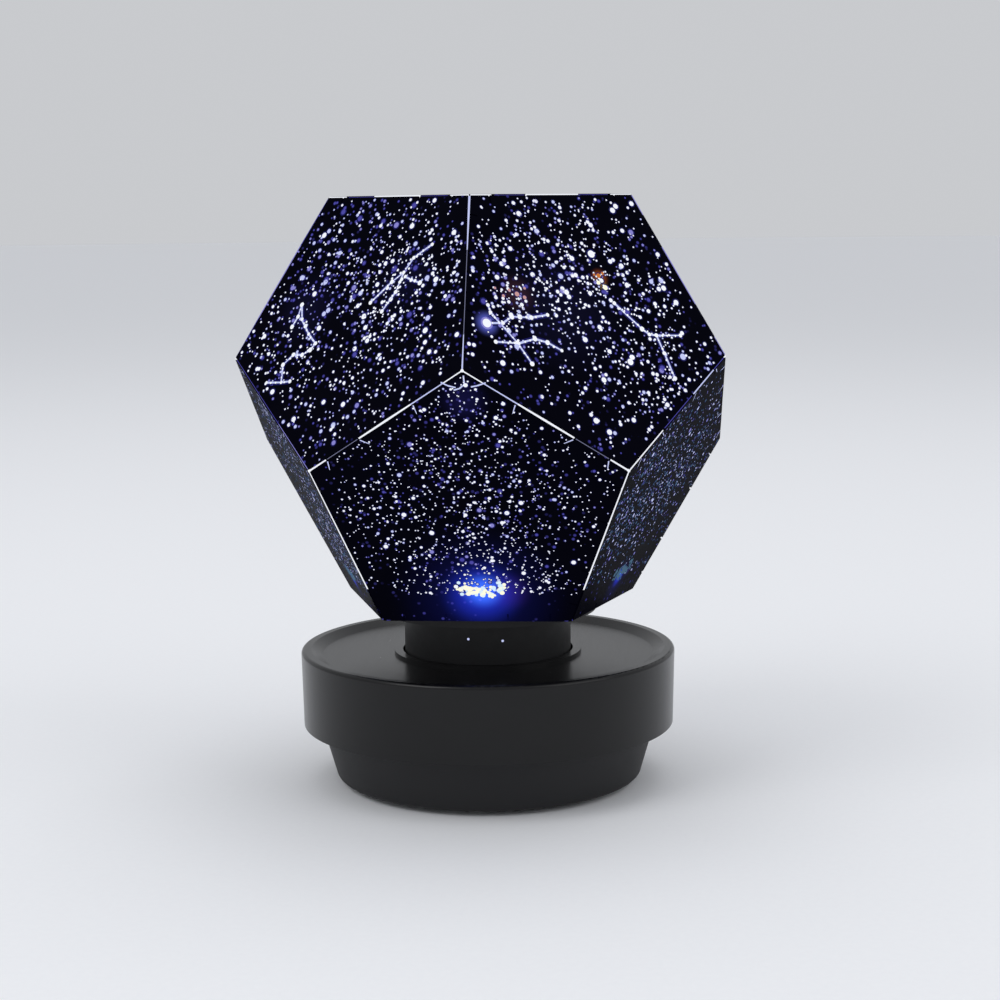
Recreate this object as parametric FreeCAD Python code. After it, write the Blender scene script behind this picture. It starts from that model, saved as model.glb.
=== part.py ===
import FreeCAD, Part
import math
import os

os.makedirs("parts", exist_ok=True)

V = FreeCAD.Vector
PI = math.pi
UP = V(0, 0, 1)

# Star ball: a regular dodecahedron of printed film, one face up and one face down
edge = 56.0
film_thickness = 0.8
seam_gap = 0.8
tab_width_share = 0.214
tab_reach_share = 0.107
tab_thickness = 0.5
tab_foot = 3.0
tab_centre_share = 0.275
notch_width = 0.5
notch_depth = 2.0
panel_hole_share = 0.519

# Base: an upper shell over a narrower tapered pan on rubber feet
base_top = 42.0
ball_lift = 15.0
shell_radius = 58.5
shell_draft = 0.5
shell_wall = 2.3
shell_top_wall = 2.6
rim_width = 3.2
rim_round = 1.2
dish_depth = 1.8
dish_slope = 3.5
collar_height = 1.0
collar_width = 2.6
pan_inset = 6.0
pan_taper = 4.9
pan_round = 2.0
pan_wall = 2.2
pan_floor = 2.4
pan_flange = 2.4
shell_fit = 0.3
foot_height = 1.5
foot_sink = 0.8
foot_radius = 6.0
foot_inset = 12.1
foot_count = 4
foot_gap = 0.2

# Housing screws and their bosses
screw_inset = 7.0
screw_count = 4
screw_radius = 1.3
screw_hole_gap = 0.3
screw_head_radius = 2.6
screw_head_height = 1.8
screw_head_room = 0.3
boss_radius = 4.0
boss_joint_rise = 5.5
boss_fit = 0.2
screw_grip = 9.0

# Fixed light column
column_radius = 8.0
column_bore = 5.0
column_body_radius = 11.0
column_flange = 3.0
column_flange_edge = 2.7
column_screw_count = 3
column_screw_head = 1.5
column_screw_head_height = 1.2
column_screw_gap = 0.3
wire_window = 6.0
shoulder_drop = 12.5
washer_thickness = 0.8
washer_radius = 11.8
washer_gap = 0.1
led_board_radius = 9.5
led_board_thickness = 1.6
led_body = 5.0
led_body_height = 1.4
led_lens_radius = 3.2
led_seat_drop = 1.0
circlip_thickness = 0.8
circlip_depth = 0.7
circlip_width = 2.2
circlip_gap = 0.2
circlip_opening = 4.0

# Turntable: the shares are of the ball's face, from its centre to the middle of an edge
journal_clearance = 0.05
gear_face = 4.0
gear_lift = 0.7
spigot_radius = 12.0
sleeve_radius = 11.2
web_thickness = 2.5
neck_share = 0.675
neck_wall = 2.2
neck_running_gap = 0.7
flange_share = 0.882
flange_thickness = 3.0
flange_hole_share = 0.532
gear_screw_count = 3
gear_screw_radius = 1.0
gear_screw_head = 1.9
ring_outer_share = 0.765
ring_inner_share = 0.545
ring_thickness = 1.6
rivet_share = 0.662
rivet_count = 5
rivet_radius = 1.5
rivet_head = 2.6
rivet_head_height = 1.0

# Gear teeth
gear_teeth = 72
pinion_teeth = 16
pressure_angle = math.radians(20)
addendum_share = 0.95
dedendum_share = 1.25
tooth_thinning = 0.12
centre_play = 0.06
flank_steps = 4

# Gear motor
motor_angle = math.radians(135)
motor_share = 0.4
motor_column_gap = 2.3
motor_floor_gap = 0.4
motor_top_gap = 3.2
motor_shaft_share = 0.57
motor_boss_radius = 4.5
motor_boss_height = 1.5
motor_ear_gap = 0.2
motor_ear_width = 7.0
motor_ear_thickness = 1.0
motor_screw_radius = 1.4
motor_screw_head = 2.5
motor_screw_head_height = 1.6
motor_post_radius = 3.3
shaft_radius = 2.5
shaft_clearance = 0.05
shaft_depth = 6.0
pinion_hub_radius = 4.0
pinion_gap = 0.5
pinion_top_gap = 0.3

# Control panel on the rear wall
panel_inset = 2.5
panel_wall = 2.2
panel_width_share = 0.615
panel_top_gap = 2.6
panel_row_drop = 6.7
panel_foot_room = 2.7
pad_flange_gap = 0.5
button_pitch_share = 0.275
button_radius = 3.2
button_top_gap = 0.6
button_gap = 0.25
button_proud = 1.4
button_flange_width = 0.8
button_flange_thickness = 1.2
button_rest_gap = 0.2
button_travel = 0.8
button_spare = 0.2
button_dish = 0.4
switch_size = 6.0
switch_depth = 3.5
switch_stub_radius = 1.7
switch_stub_height = 0.8
key_board_share = 1.11
key_board_thickness = 1.6
key_board_top_gap = 0.5
inlet_width = 9.0
inlet_height = 3.3
inlet_wall = 0.35
inlet_gap = 0.25
inlet_tongue_width = 6.4
inlet_tongue_thickness = 0.7
inlet_inset = 0.4

# Battery
cell_share = 0.426
cell_reach_share = 1.011
cell_column_gap = 4.0
cell_lift = 0.3
cell_wire_room = 6.9
cell_nub_radius = 2.8
cell_nub_height = 0.8
saddle_thickness = 2.4
saddle_spread_share = 0.31
saddle_height_share = 0.76
saddle_width_share = 1.85
clip_thickness = 0.4
clip_width_share = 0.98
clip_over = 0.3
clip_gap = 0.1
clip_foot = 4.0

# Main board: its width's share is of the room between column and boss, the others are of the pan's
board_width_share = 0.9545
board_length_share = 0.716
board_y_share = 0.152
board_column_gap = 3.6
board_thickness = 1.6
board_lift = 5.0
board_post_share = 0.0952
board_post_inset_share = 0.124
board_screw_radius = 0.9
board_screw_head_share = 0.081
board_screw_head_height = 1.1
chip_share = 0.333
chip_height = 1.4
connector_height = 5.5
connector_width_share = 0.257
connector_depth_share = 0.214
connector_shares = (-0.16, 0.16)
capacitor_share = 0.143
capacitor_height = 8.0

# Wires
wire_radius = 0.65
wire_spacing = 3.2
wire_end_gap = 0.3
wire_rise = 3.6
wire_pair_rise = 5.2
battery_wire_rise = 2.0
battery_pair_rise = 3.6
key_wire_inset = 3.5
bend_share = 0.45

# Sizes that follow from the ones above: ball and neck
sides = 5
round_turn = 2 * PI
step_turn = round_turn / sides
golden = (1 + math.sqrt(5)) / 2
inradius = edge * golden ** 2 / (2 * math.sqrt(3 - golden))
apothem = edge / (2 * math.tan(PI / sides))
dihedral = math.acos(-1 / math.sqrt(5))
face_tilt = PI - dihedral
match_share = 0.0001
tab_width = tab_width_share * edge
tab_reach = tab_reach_share * edge
ball_bottom = base_top + ball_lift
ball_centre = ball_bottom + inradius
panel_inner = ball_bottom + film_thickness
panel_hole_radius = panel_hole_share * apothem
neck_radius = neck_share * apothem
neck_inner = neck_radius - neck_wall
flange_radius = flange_share * apothem
flange_hole = flange_hole_share * apothem
flange_low = ball_bottom - flange_thickness
ring_outer = ring_outer_share * apothem
ring_inner = ring_inner_share * apothem
ring_top = panel_inner + ring_thickness
rivet_circle = rivet_share * apothem

# Shell and control panel, from the top down to the joint with the pan
shell_foot_radius = shell_radius - shell_draft
shell_inner = shell_foot_radius - shell_wall
plate_top = base_top - dish_depth
plate_under = plate_top - shell_top_wall
panel_flat = shell_radius - panel_inset
panel_width = panel_width_share * shell_radius
pad_inner = panel_flat - panel_wall
button_pitch = button_pitch_share * panel_width
button_flange = button_radius + button_flange_width
button_height = plate_under - button_flange - button_top_gap
inlet_axis = button_height - panel_row_drop
inlet_front = panel_flat - inlet_inset
panel_low = inlet_axis - panel_foot_room
pad_low = panel_low - panel_wall
flange_top = pad_low - pad_flange_gap
parting_height = flange_top - pan_flange
button_back = pad_inner - button_rest_gap - button_flange_thickness
stub_front = button_back - button_travel - button_spare
switch_front = stub_front - switch_stub_height
key_board_front = switch_front - switch_depth
key_board_back = key_board_front - key_board_thickness
key_board_width = key_board_share * panel_width

# Pan, feet and housing screws
floor_top = foot_height + pan_floor
pan_top_radius = shell_radius - pan_inset
pan_foot_radius = pan_top_radius - pan_taper
pan_slope = pan_taper / (parting_height - foot_height)
pan_room = pan_foot_radius + pan_slope * pan_floor - pan_wall
foot_circle = pan_foot_radius - foot_inset
screw_circle = pan_foot_radius - screw_inset
boss_reach = screw_circle - boss_radius
screw_hole = screw_radius + screw_hole_gap
boss_joint_height = parting_height + boss_joint_rise

# Column, turntable and gears
shoulder_height = base_top - shoulder_drop
column_screw_circle = column_body_radius + column_screw_head + column_screw_gap
column_flange_radius = column_screw_circle + column_flange_edge
hub_bottom = shoulder_height + washer_thickness
gear_bottom = hub_bottom + gear_lift
gear_top = gear_bottom + gear_face
web_top = gear_top + web_thickness
gear_screw_circle = (spigot_radius + neck_inner) / 2
led_board_bottom = ball_bottom - led_seat_drop
led_board_top = led_board_bottom + led_board_thickness
circlip_bottom = led_board_bottom - ring_thickness - circlip_thickness
sleeve_top = circlip_bottom - circlip_gap

# Motor and pinion
motor_radius = motor_share * (pan_room - column_body_radius)
motor_reach = column_body_radius + motor_column_gap + motor_radius
centre_distance = motor_reach + motor_shaft_share * motor_radius
gear_module = 2 * (centre_distance - centre_play) / (gear_teeth + pinion_teeth)
pinion_x = centre_distance * math.cos(motor_angle)
pinion_y = centre_distance * math.sin(motor_angle)
pinion_top = gear_top - pinion_top_gap
motor_x = motor_reach * math.cos(motor_angle)
motor_y = motor_reach * math.sin(motor_angle)
motor_bottom = floor_top + column_flange + motor_floor_gap
motor_top = shoulder_height - motor_top_gap
motor_ear_reach = motor_radius + motor_post_radius + motor_ear_gap

# Battery: as thick as the room under the gear and the room beside the column both allow
cell_room_up = (shoulder_height - floor_top - cell_lift - cell_wire_room) / 2
cell_room_across = cell_share * (boss_reach - column_body_radius - cell_column_gap)
cell_radius = min(cell_room_up, cell_room_across)
cell_axis = floor_top + cell_lift + cell_radius
cell_centre_y = -(column_body_radius + cell_column_gap + cell_radius)
cell_reach = cell_reach_share * pan_room
cell_length = 2 * math.sqrt(cell_reach ** 2 - (cell_radius - cell_centre_y) ** 2)
saddle_spread = saddle_spread_share * cell_length
saddle_height = saddle_height_share * cell_radius
saddle_width = saddle_width_share * cell_radius
clip_width = clip_width_share * cell_radius
clip_height = cell_lift + 2 * cell_radius + clip_over

# Main board
board_width = board_width_share * (boss_reach - column_body_radius - board_column_gap)
board_length = board_length_share * pan_room
board_x = column_body_radius + board_column_gap + board_width / 2
board_y = board_y_share * pan_room
board_bottom = floor_top + board_lift
board_top = board_bottom + board_thickness
board_post_radius = board_post_share * board_width
board_post_inset = board_post_inset_share * board_width
board_screw_head = board_screw_head_share * board_width
connector_width = connector_width_share * board_width
connector_depth = connector_depth_share * board_width
capacitor_radius = capacitor_share * board_width

pieces = {}


def cylinder(radius, low, high, x=0, y=0):
    return Part.makeCylinder(radius, high - low, V(x, y, low))


def block(x_low, x_high, y_low, y_high, z_low, z_high):
    return Part.makeBox(x_high - x_low, y_high - y_low, z_high - z_low, V(x_low, y_low, z_low))


def tube(outer, inner, low, high, x=0, y=0):
    return cylinder(outer, low, high, x, y).cut(cylinder(inner, low, high, x, y))


def turned(outline):
    """A solid of revolution about Z from an outline of (radius, height) points."""
    points = [V(radius, 0, height) for radius, height in outline]
    face = Part.Face(Part.makePolygon(points + points[:1]))
    return face.revolve(V(0, 0, 0), UP, math.degrees(round_turn))


def joined(solids):
    """One piece fused from solids that overlap or share a face."""
    return solids[0].multiFuse(solids[1:]).removeSplitter()


def group(solids):
    """Like pieces that stay apart but share one name."""
    return Part.Compound(solids)


def around(count, radius, first=0):
    """Points evenly spaced on a circle about the axis."""
    for k in range(count):
        angle = first + round_turn * k / count
        yield radius * math.cos(angle), radius * math.sin(angle)


def rounded(solid, radius, picked):
    """Rounds the edges that picked chooses."""
    return solid.makeFillet(radius, [e for e in solid.Edges if picked(e)])


def edge_at(height, radius):
    """Chooses the full circle at one height and radius."""
    def chosen(e):
        near = match_share * edge
        box = e.BoundBox
        flat = abs(box.ZMin - height) < near and abs(box.ZMax - height) < near
        return flat and abs(box.XMax - radius) < near
    return chosen


def cable(points, radius):
    """A wire along straight runs joined by arcs that touch both runs."""
    runs = []
    start = points[0]
    for before, corner, after in zip(points, points[1:], points[2:]):
        back = before - corner
        ahead = after - corner
        turn = PI - back.getAngle(ahead)
        cut_back = bend_share * min(back.Length, ahead.Length)
        bend = cut_back / math.tan(turn / 2)
        back.normalize()
        ahead.normalize()
        first = corner + back * cut_back
        last = corner + ahead * cut_back
        inward = back + ahead
        inward.normalize()
        middle = corner + inward * (bend / math.cos(turn / 2) - bend)
        runs.append(Part.LineSegment(start, first).toShape())
        runs.append(Part.Arc(first, middle, last).toShape())
        start = last
    runs.append(Part.LineSegment(start, points[-1]).toShape())
    path = Part.Wire(runs)
    heading = points[1] - points[0]
    section = Part.Wire(Part.makeCircle(radius, points[0], heading))
    return path.makePipeShell([section], True, False)


def involute(angle):
    return math.tan(angle) - angle


def gear_blank(teeth, low, high, first_tooth, x=0, y=0):
    """A spur gear's toothed disc, its first tooth centred on the angle given."""
    pitch = gear_module * teeth / 2
    base = pitch * math.cos(pressure_angle)
    root = pitch - dedendum_share * gear_module
    tip = pitch + addendum_share * gear_module
    half_pitch = (PI * gear_module / 2 - tooth_thinning) / (2 * pitch)
    flank = []
    lowest = max(root, base)
    for step in range(flank_steps + 1):
        radius = lowest + (tip - lowest) * step / flank_steps
        roll = math.acos(base / radius) if radius > base else 0
        half = half_pitch + involute(pressure_angle) - involute(roll)
        flank.append((radius, half))
    if root < base:
        flank.insert(0, (root, flank[0][1]))
    points = []
    for tooth in range(teeth):
        middle = first_tooth + round_turn * tooth / teeth
        side = [(radius, middle - half) for radius, half in flank]
        other = [(radius, middle + half) for radius, half in reversed(flank)]
        for radius, angle in side + other:
            points.append(V(x + radius * math.cos(angle), y + radius * math.sin(angle), low))
    face = Part.Face(Part.makePolygon(points + points[:1]))
    return face.extrude(V(0, 0, high - low))


# Base pan: a tapered bowl with a flange that closes the shell from below
def make_base_pan():
    outline = [
        (0, foot_height),
        (pan_foot_radius, foot_height),
        (pan_top_radius, parting_height),
        (shell_inner - shell_fit, parting_height),
        (shell_inner - shell_fit, flange_top),
        (pan_top_radius - pan_wall, flange_top),
        (pan_room, floor_top),
        (0, floor_top),
    ]
    bowl = rounded(turned(outline), pan_round, edge_at(foot_height, pan_foot_radius))
    solids = [bowl]
    boss_top = boss_joint_height - boss_fit
    for x, y in around(screw_count, screw_circle):
        solids.append(cylinder(boss_radius, floor_top, boss_top, x, y))
    for x, y in motor_ears():
        solids.append(cylinder(motor_post_radius, floor_top, motor_top - motor_ear_thickness, x, y))
    for x, y in board_corners():
        solids.append(cylinder(board_post_radius, floor_top, board_bottom, x, y))
    for x in (-saddle_spread, saddle_spread):
        saddle = block(
            x - saddle_thickness / 2, x + saddle_thickness / 2,
            cell_centre_y - saddle_width / 2, cell_centre_y + saddle_width / 2,
            floor_top, floor_top + saddle_height,
        )
        room = Part.makeCylinder(
            cell_radius + cell_lift, saddle_thickness,
            V(x - saddle_thickness / 2, cell_centre_y, cell_axis), V(1, 0, 0),
        )
        solids.append(saddle.cut(room))
    pan = joined(solids)
    for x, y in around(screw_count, screw_circle):
        pan = pan.cut(cylinder(screw_hole, foot_height, boss_joint_height, x, y))
        head_top = foot_height + screw_head_height + screw_head_room
        pan = pan.cut(cylinder(screw_head_radius + screw_head_room, foot_height, head_top, x, y))
    for x, y in around(foot_count, foot_circle, PI / 4):
        pan = pan.cut(cylinder(foot_radius + foot_gap, foot_height, foot_height + foot_sink, x, y))
    for x, y in around(column_screw_count, column_screw_circle, PI / 2):
        pan = pan.cut(cylinder(board_screw_radius, foot_height + foot_sink, floor_top, x, y))
    for x, y in motor_ears():
        post_top = motor_top - motor_ear_thickness
        pan = pan.cut(cylinder(motor_screw_radius, post_top - screw_grip, post_top, x, y))
    for x, y in board_corners():
        pan = pan.cut(cylinder(board_screw_radius, board_bottom - board_lift / 2, board_bottom, x, y))
    return pan


def motor_ears():
    """The two ear holes, either side of the motor, square to its line to the axis."""
    for side in (-1, 1):
        yield (
            motor_x - side * motor_ear_reach * math.sin(motor_angle),
            motor_y + side * motor_ear_reach * math.cos(motor_angle),
        )


def board_corners():
    for side_x in (-1, 1):
        for side_y in (-1, 1):
            yield (
                board_x + side_x * (board_width / 2 - board_post_inset),
                board_y + side_y * (board_length / 2 - board_post_inset),
            )


# Base shell: upper cover with a dished top, a collared hole and a flat control panel at the back
def make_base_shell():
    rim_inner = shell_radius - rim_width
    dish_edge = rim_inner - dish_slope
    hole = neck_radius + neck_running_gap
    outline = [
        (hole, plate_under),
        (hole, plate_top + collar_height),
        (hole + collar_width, plate_top + collar_height),
        (hole + collar_width, plate_top),
        (dish_edge, plate_top),
        (rim_inner, base_top),
        (shell_radius, base_top),
        (shell_foot_radius, parting_height),
        (shell_inner, parting_height),
        (shell_inner, plate_under),
    ]
    cover = rounded(turned(outline), rim_round, edge_at(base_top, shell_radius))
    whole = cylinder(shell_radius - shell_draft / 2, parting_height, plate_top)
    pad = block(-panel_width / 2, panel_width / 2, pad_inner, shell_radius, pad_low, plate_under)
    cover = joined([cover, pad.common(whole)])
    pocket_top = plate_top - panel_top_gap
    pocket = block(
        -panel_width / 2, panel_width / 2, panel_flat, shell_radius + rim_width, panel_low, pocket_top
    )
    cover = cover.cut(pocket)
    for x, y in around(screw_count, screw_circle):
        post = cylinder(boss_radius, boss_joint_height, plate_under, x, y)
        post = post.cut(cylinder(screw_radius, boss_joint_height, boss_joint_height + screw_grip, x, y))
        cover = joined([cover, post])
    for x in button_places():
        hole = Part.makeCylinder(
            button_radius + button_gap, shell_radius - pad_inner + rim_width,
            V(x, pad_inner - rim_width / 2, button_height), V(0, 1, 0),
        )
        cover = cover.cut(hole)
    slot = stadium(
        inlet_width + 2 * inlet_gap, inlet_height + 2 * inlet_gap,
        pad_inner - panel_wall / 2, panel_flat + panel_wall / 2,
    )
    return cover.cut(slot)


def button_places():
    return (-button_pitch, 0, button_pitch)


def stadium(width, height, y_low, y_high):
    """The socket's outline, a slot with round ends, along Y."""
    low = inlet_axis - height / 2
    half = width / 2 - height / 2
    slab = block(-half, half, y_low, y_high, low, low + height)
    solids = [slab]
    for x in (-half, half):
        end = Part.makeCylinder(
            height / 2, y_high - y_low, V(x, y_low, inlet_axis), V(0, 1, 0)
        )
        solids.append(end)
    return joined(solids)


# Feet and housing screws
def make_feet():
    pads = []
    for x, y in around(foot_count, foot_circle, PI / 4):
        pad = cylinder(foot_radius, 0, foot_height + foot_sink, x, y)
        pads.append(pad)
    return group(pads)


def screw_up(x, y, seat, length, radius, head_radius, head_height):
    """A screw driven upwards, its head below the seat."""
    head = cylinder(head_radius, seat - head_height, seat, x, y)
    shank = cylinder(radius, seat - head_height / 2, seat + length, x, y)
    return joined([head, shank])


def screw_down(x, y, seat, length, radius, head_radius, head_height):
    """A screw driven downwards, its head above the seat."""
    head = cylinder(head_radius, seat, seat + head_height, x, y)
    shank = cylinder(radius, seat - length, seat + head_height / 2, x, y)
    return joined([head, shank])


def make_housing_screws():
    seat = foot_height + screw_head_height + screw_head_room
    length = boss_joint_height + screw_grip - seat - boss_fit
    return group([
        screw_up(x, y, seat, length, screw_radius, screw_head_radius, screw_head_height)
        for x, y in around(screw_count, screw_circle)
    ])


# Light column: a turned post that carries the lamp board and the turntable
def make_column():
    outline = [
        (column_bore, floor_top),
        (column_flange_radius, floor_top),
        (column_flange_radius, floor_top + column_flange),
        (column_body_radius, floor_top + column_flange),
        (column_body_radius, shoulder_height),
        (column_radius, shoulder_height),
        (column_radius, circlip_bottom),
        (column_radius - circlip_depth, circlip_bottom),
        (column_radius - circlip_depth, circlip_bottom + circlip_thickness),
        (column_radius, circlip_bottom + circlip_thickness),
        (column_radius, led_board_bottom),
        (column_bore, led_board_bottom),
    ]
    post = turned(outline)
    window_low = floor_top + column_flange + wire_window / 2
    window = block(0, column_body_radius + column_flange, -wire_window / 2, wire_window / 2,
                   window_low, window_low + wire_window)
    post = post.cut(window)
    for x, y in around(column_screw_count, column_screw_circle, PI / 2):
        post = post.cut(cylinder(screw_radius, floor_top, floor_top + column_flange, x, y))
    return post


def make_column_screws():
    seat = floor_top + column_flange
    length = column_flange + pan_floor / 2
    return group([
        screw_down(x, y, seat, length, board_screw_radius, column_screw_head, column_screw_head_height)
        for x, y in around(column_screw_count, column_screw_circle, PI / 2)
    ])


def make_washer():
    return tube(washer_radius, column_radius + washer_gap, shoulder_height, hub_bottom)


def make_circlip():
    inner = column_radius - circlip_depth
    ring = tube(inner + circlip_width, inner, circlip_bottom, circlip_bottom + circlip_thickness)
    mouth = block(0, inner + 2 * circlip_width, -circlip_opening / 2, circlip_opening / 2,
                  circlip_bottom, circlip_bottom + circlip_thickness)
    return ring.cut(mouth)


def make_led_board():
    board = cylinder(led_board_radius, led_board_bottom, led_board_top)
    for y in (-wire_spacing / 2, wire_spacing / 2):
        board = board.cut(cylinder(wire_radius + wire_end_gap, led_board_bottom, led_board_top, 0, y))
    return board


def make_led_emitter():
    half = led_body / 2
    return block(-half, half, -half, half, led_board_top, led_board_top + led_body_height)


def make_led_lens():
    """A clear half dome moulded on the lamp's body."""
    low = led_board_top + led_body_height
    ball = Part.makeSphere(led_lens_radius, V(0, 0, low))
    keep = cylinder(led_lens_radius, low, low + led_lens_radius)
    return ball.common(keep)


# Turntable: gear, hub and bush, with the clamp ring and rivets that hold the ball
def make_gear():
    disc = gear_blank(gear_teeth, gear_bottom, gear_top, motor_angle)
    disc = disc.cut(cylinder(spigot_radius, gear_bottom, gear_top))
    for x, y in around(gear_screw_count, gear_screw_circle):
        disc = disc.cut(cylinder(gear_screw_radius, gear_bottom, gear_top, x, y))
    return disc


def make_hub():
    outline = [
        (sleeve_radius, gear_top),
        (neck_radius, gear_top),
        (neck_radius, flange_low),
        (flange_radius, flange_low),
        (flange_radius, ball_bottom),
        (flange_hole, ball_bottom),
        (flange_hole, flange_low),
        (neck_inner, flange_low),
        (neck_inner, web_top),
        (sleeve_radius, web_top),
    ]
    hub = turned(outline)
    for x, y in around(gear_screw_count, gear_screw_circle):
        hub = hub.cut(cylinder(gear_screw_radius, gear_top, web_top, x, y))
    for x, y in around(rivet_count, rivet_circle, PI / 2):
        hub = hub.cut(cylinder(rivet_radius, flange_low, ball_bottom, x, y))
    return hub


def make_bush():
    """A shouldered bush pressed through the hub's web, which turns on the column."""
    bore = column_radius + journal_clearance
    return turned([
        (bore, hub_bottom),
        (spigot_radius, hub_bottom),
        (spigot_radius, gear_top),
        (sleeve_radius, gear_top),
        (sleeve_radius, sleeve_top),
        (bore, sleeve_top),
    ])


def make_gear_screws():
    return group([
        screw_up(x, y, gear_bottom, gear_face + web_thickness, gear_screw_radius,
                 gear_screw_head, gear_lift)
        for x, y in around(gear_screw_count, gear_screw_circle)
    ])


def make_ball_ring():
    ring = tube(ring_outer, ring_inner, panel_inner, ring_top)
    for x, y in around(rivet_count, rivet_circle, PI / 2):
        ring = ring.cut(cylinder(rivet_radius, panel_inner, ring_top, x, y))
    return ring


def make_rivets():
    length = ring_top - flange_low
    return group([
        screw_down(x, y, ring_top, length, rivet_radius, rivet_head, rivet_head_height)
        for x, y in around(rivet_count, rivet_circle, PI / 2)
    ])


# Film panels: flat pentagons with mitred edges, tabs folded under the neighbour, fold notches
def panel_plate():
    """One pentagon about its own Z, its lowest edge towards -Y, measured from the ball's centre."""
    wires = []
    for height in (inradius, inradius - film_thickness):
        reach = apothem * height / inradius - seam_gap / 2
        corner = reach / math.cos(step_turn / 2)
        points = []
        for k in range(sides):
            angle = PI / 2 + k * step_turn
            points.append(V(corner * math.cos(angle), corner * math.sin(angle), height))
        wires.append(Part.makePolygon(points + points[:1]))
    return Part.makeLoft(wires, True, True)


def tab_places():
    for side in (-1, 1):
        yield side * tab_centre_share * edge


def tab_strip(along):
    """A bent strip that hugs the inside of two panels, for the edge that faces +X."""
    bisector = PI + dihedral / 2
    deep = 1 / math.sin(dihedral / 2)
    corner = [
        V(apothem + t * deep * math.cos(bisector), 0, inradius + t * deep * math.sin(bisector))
        for t in (film_thickness, film_thickness + tab_thickness)
    ]
    ahead = V(math.cos(PI + dihedral), 0, math.sin(PI + dihedral))
    under = V(-math.sin(face_tilt), 0, -math.cos(face_tilt))
    outline = [
        corner[0] + V(-tab_foot, 0, 0),
        corner[0],
        corner[0] + ahead * tab_reach,
        corner[0] + ahead * tab_reach + under * tab_thickness,
        corner[1],
        corner[0] + V(-tab_foot, 0, -tab_thickness),
    ]
    face = Part.Face(Part.makePolygon(outline + outline[:1]))
    strip = face.extrude(V(0, tab_width, 0))
    strip.translate(V(0, along - tab_width / 2, 0))
    return strip


def fold_notch(along):
    """A slit in the edge beside a tab, so that the tab folds cleanly."""
    deep = film_thickness + seam_gap
    return block(apothem - seam_gap - notch_depth, apothem, along - notch_width / 2,
                 along + notch_width / 2, inradius - deep, inradius + deep)


def film_panel(tab_edges):
    plate = panel_plate()
    for k in tab_edges:
        turn = math.degrees(k * step_turn - PI / 2)
        for along in tab_places():
            for side in (-1, 1):
                notch = fold_notch(along + side * (tab_width + notch_width) / 2)
                notch.rotate(V(0, 0, 0), UP, turn)
                plate = plate.cut(notch)
    solids = [plate]
    for k in tab_edges:
        turn = math.degrees(k * step_turn - PI / 2)
        for along in tab_places():
            strip = tab_strip(along)
            strip.rotate(V(0, 0, 0), UP, turn)
            solids.append(strip)
    return joined(solids) if tab_edges else plate


def on_ball(shape, outward, up):
    """Turns a panel to face outward, with its own +Y along up, about the ball's centre."""
    across = up.cross(outward)
    turn = FreeCAD.Rotation(across, up, outward, "ZXY")
    placed = shape.copy()
    placed.Placement = FreeCAD.Placement(V(0, 0, ball_centre), turn).multiply(placed.Placement)
    return placed


def sloped(azimuth, rise):
    """Outward and uphill directions of a face of the ball."""
    outward = V(math.cos(azimuth) * math.cos(rise), math.sin(azimuth) * math.cos(rise), math.sin(rise))
    uphill = V(-math.cos(azimuth) * math.sin(rise), -math.sin(azimuth) * math.sin(rise), math.cos(rise))
    return outward, uphill


def make_ball():
    pieces["panel_top"] = on_ball(film_panel(()), V(0, 0, 1), V(0, -1, 0))
    lowest = on_ball(film_panel(()), V(0, 0, -1), V(0, 1, 0))
    lowest = lowest.cut(cylinder(panel_hole_radius, base_top, ball_centre))
    for x, y in around(rivet_count, rivet_circle, PI / 2):
        lowest = lowest.cut(cylinder(rivet_radius, base_top, ball_centre, x, y))
    pieces["panel_bottom"] = lowest
    upper = film_panel((0, 1))
    lower = film_panel((0, 1, 2, 3))
    rise = PI / 2 - face_tilt
    for k in range(sides):
        outward, uphill = sloped(step_turn * (k + 1 / 2) - PI / 2, rise)
        pieces["panel_upper_" + str(k + 1)] = on_ball(upper, outward, -uphill)
        outward, uphill = sloped(step_turn * k - PI / 2, -rise)
        pieces["panel_lower_" + str(k + 1)] = on_ball(lower, outward, uphill)


# Gear motor with its pinion
def make_motor():
    can = cylinder(motor_radius, motor_bottom, motor_top, motor_x, motor_y)
    boss = cylinder(motor_boss_radius, motor_top, motor_top + motor_boss_height, pinion_x, pinion_y)
    solids = [can, boss]
    ear_low = motor_top - motor_ear_thickness
    bar = block(-motor_ear_reach, motor_ear_reach, -motor_ear_width / 2, motor_ear_width / 2,
                ear_low, motor_top)
    bar.rotate(V(0, 0, 0), UP, math.degrees(motor_angle + PI / 2))
    bar.translate(V(motor_x, motor_y, 0))
    solids.append(bar)
    for x, y in motor_ears():
        solids.append(cylinder(motor_ear_width / 2, ear_low, motor_top, x, y))
    body = joined(solids)
    for x, y in motor_ears():
        body = body.cut(cylinder(motor_screw_radius, ear_low, motor_top, x, y))
    hole_low = motor_top - shaft_depth
    hole_top = motor_top + motor_boss_height
    return body.cut(cylinder(shaft_radius + shaft_clearance, hole_low, hole_top, pinion_x, pinion_y))


def make_motor_screws():
    return group([
        screw_down(x, y, motor_top, screw_grip, motor_screw_radius, motor_screw_head,
                   motor_screw_head_height)
        for x, y in motor_ears()
    ])


def make_shaft():
    low = motor_top - shaft_depth + shaft_clearance
    return cylinder(shaft_radius, low, pinion_top, pinion_x, pinion_y)


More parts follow.
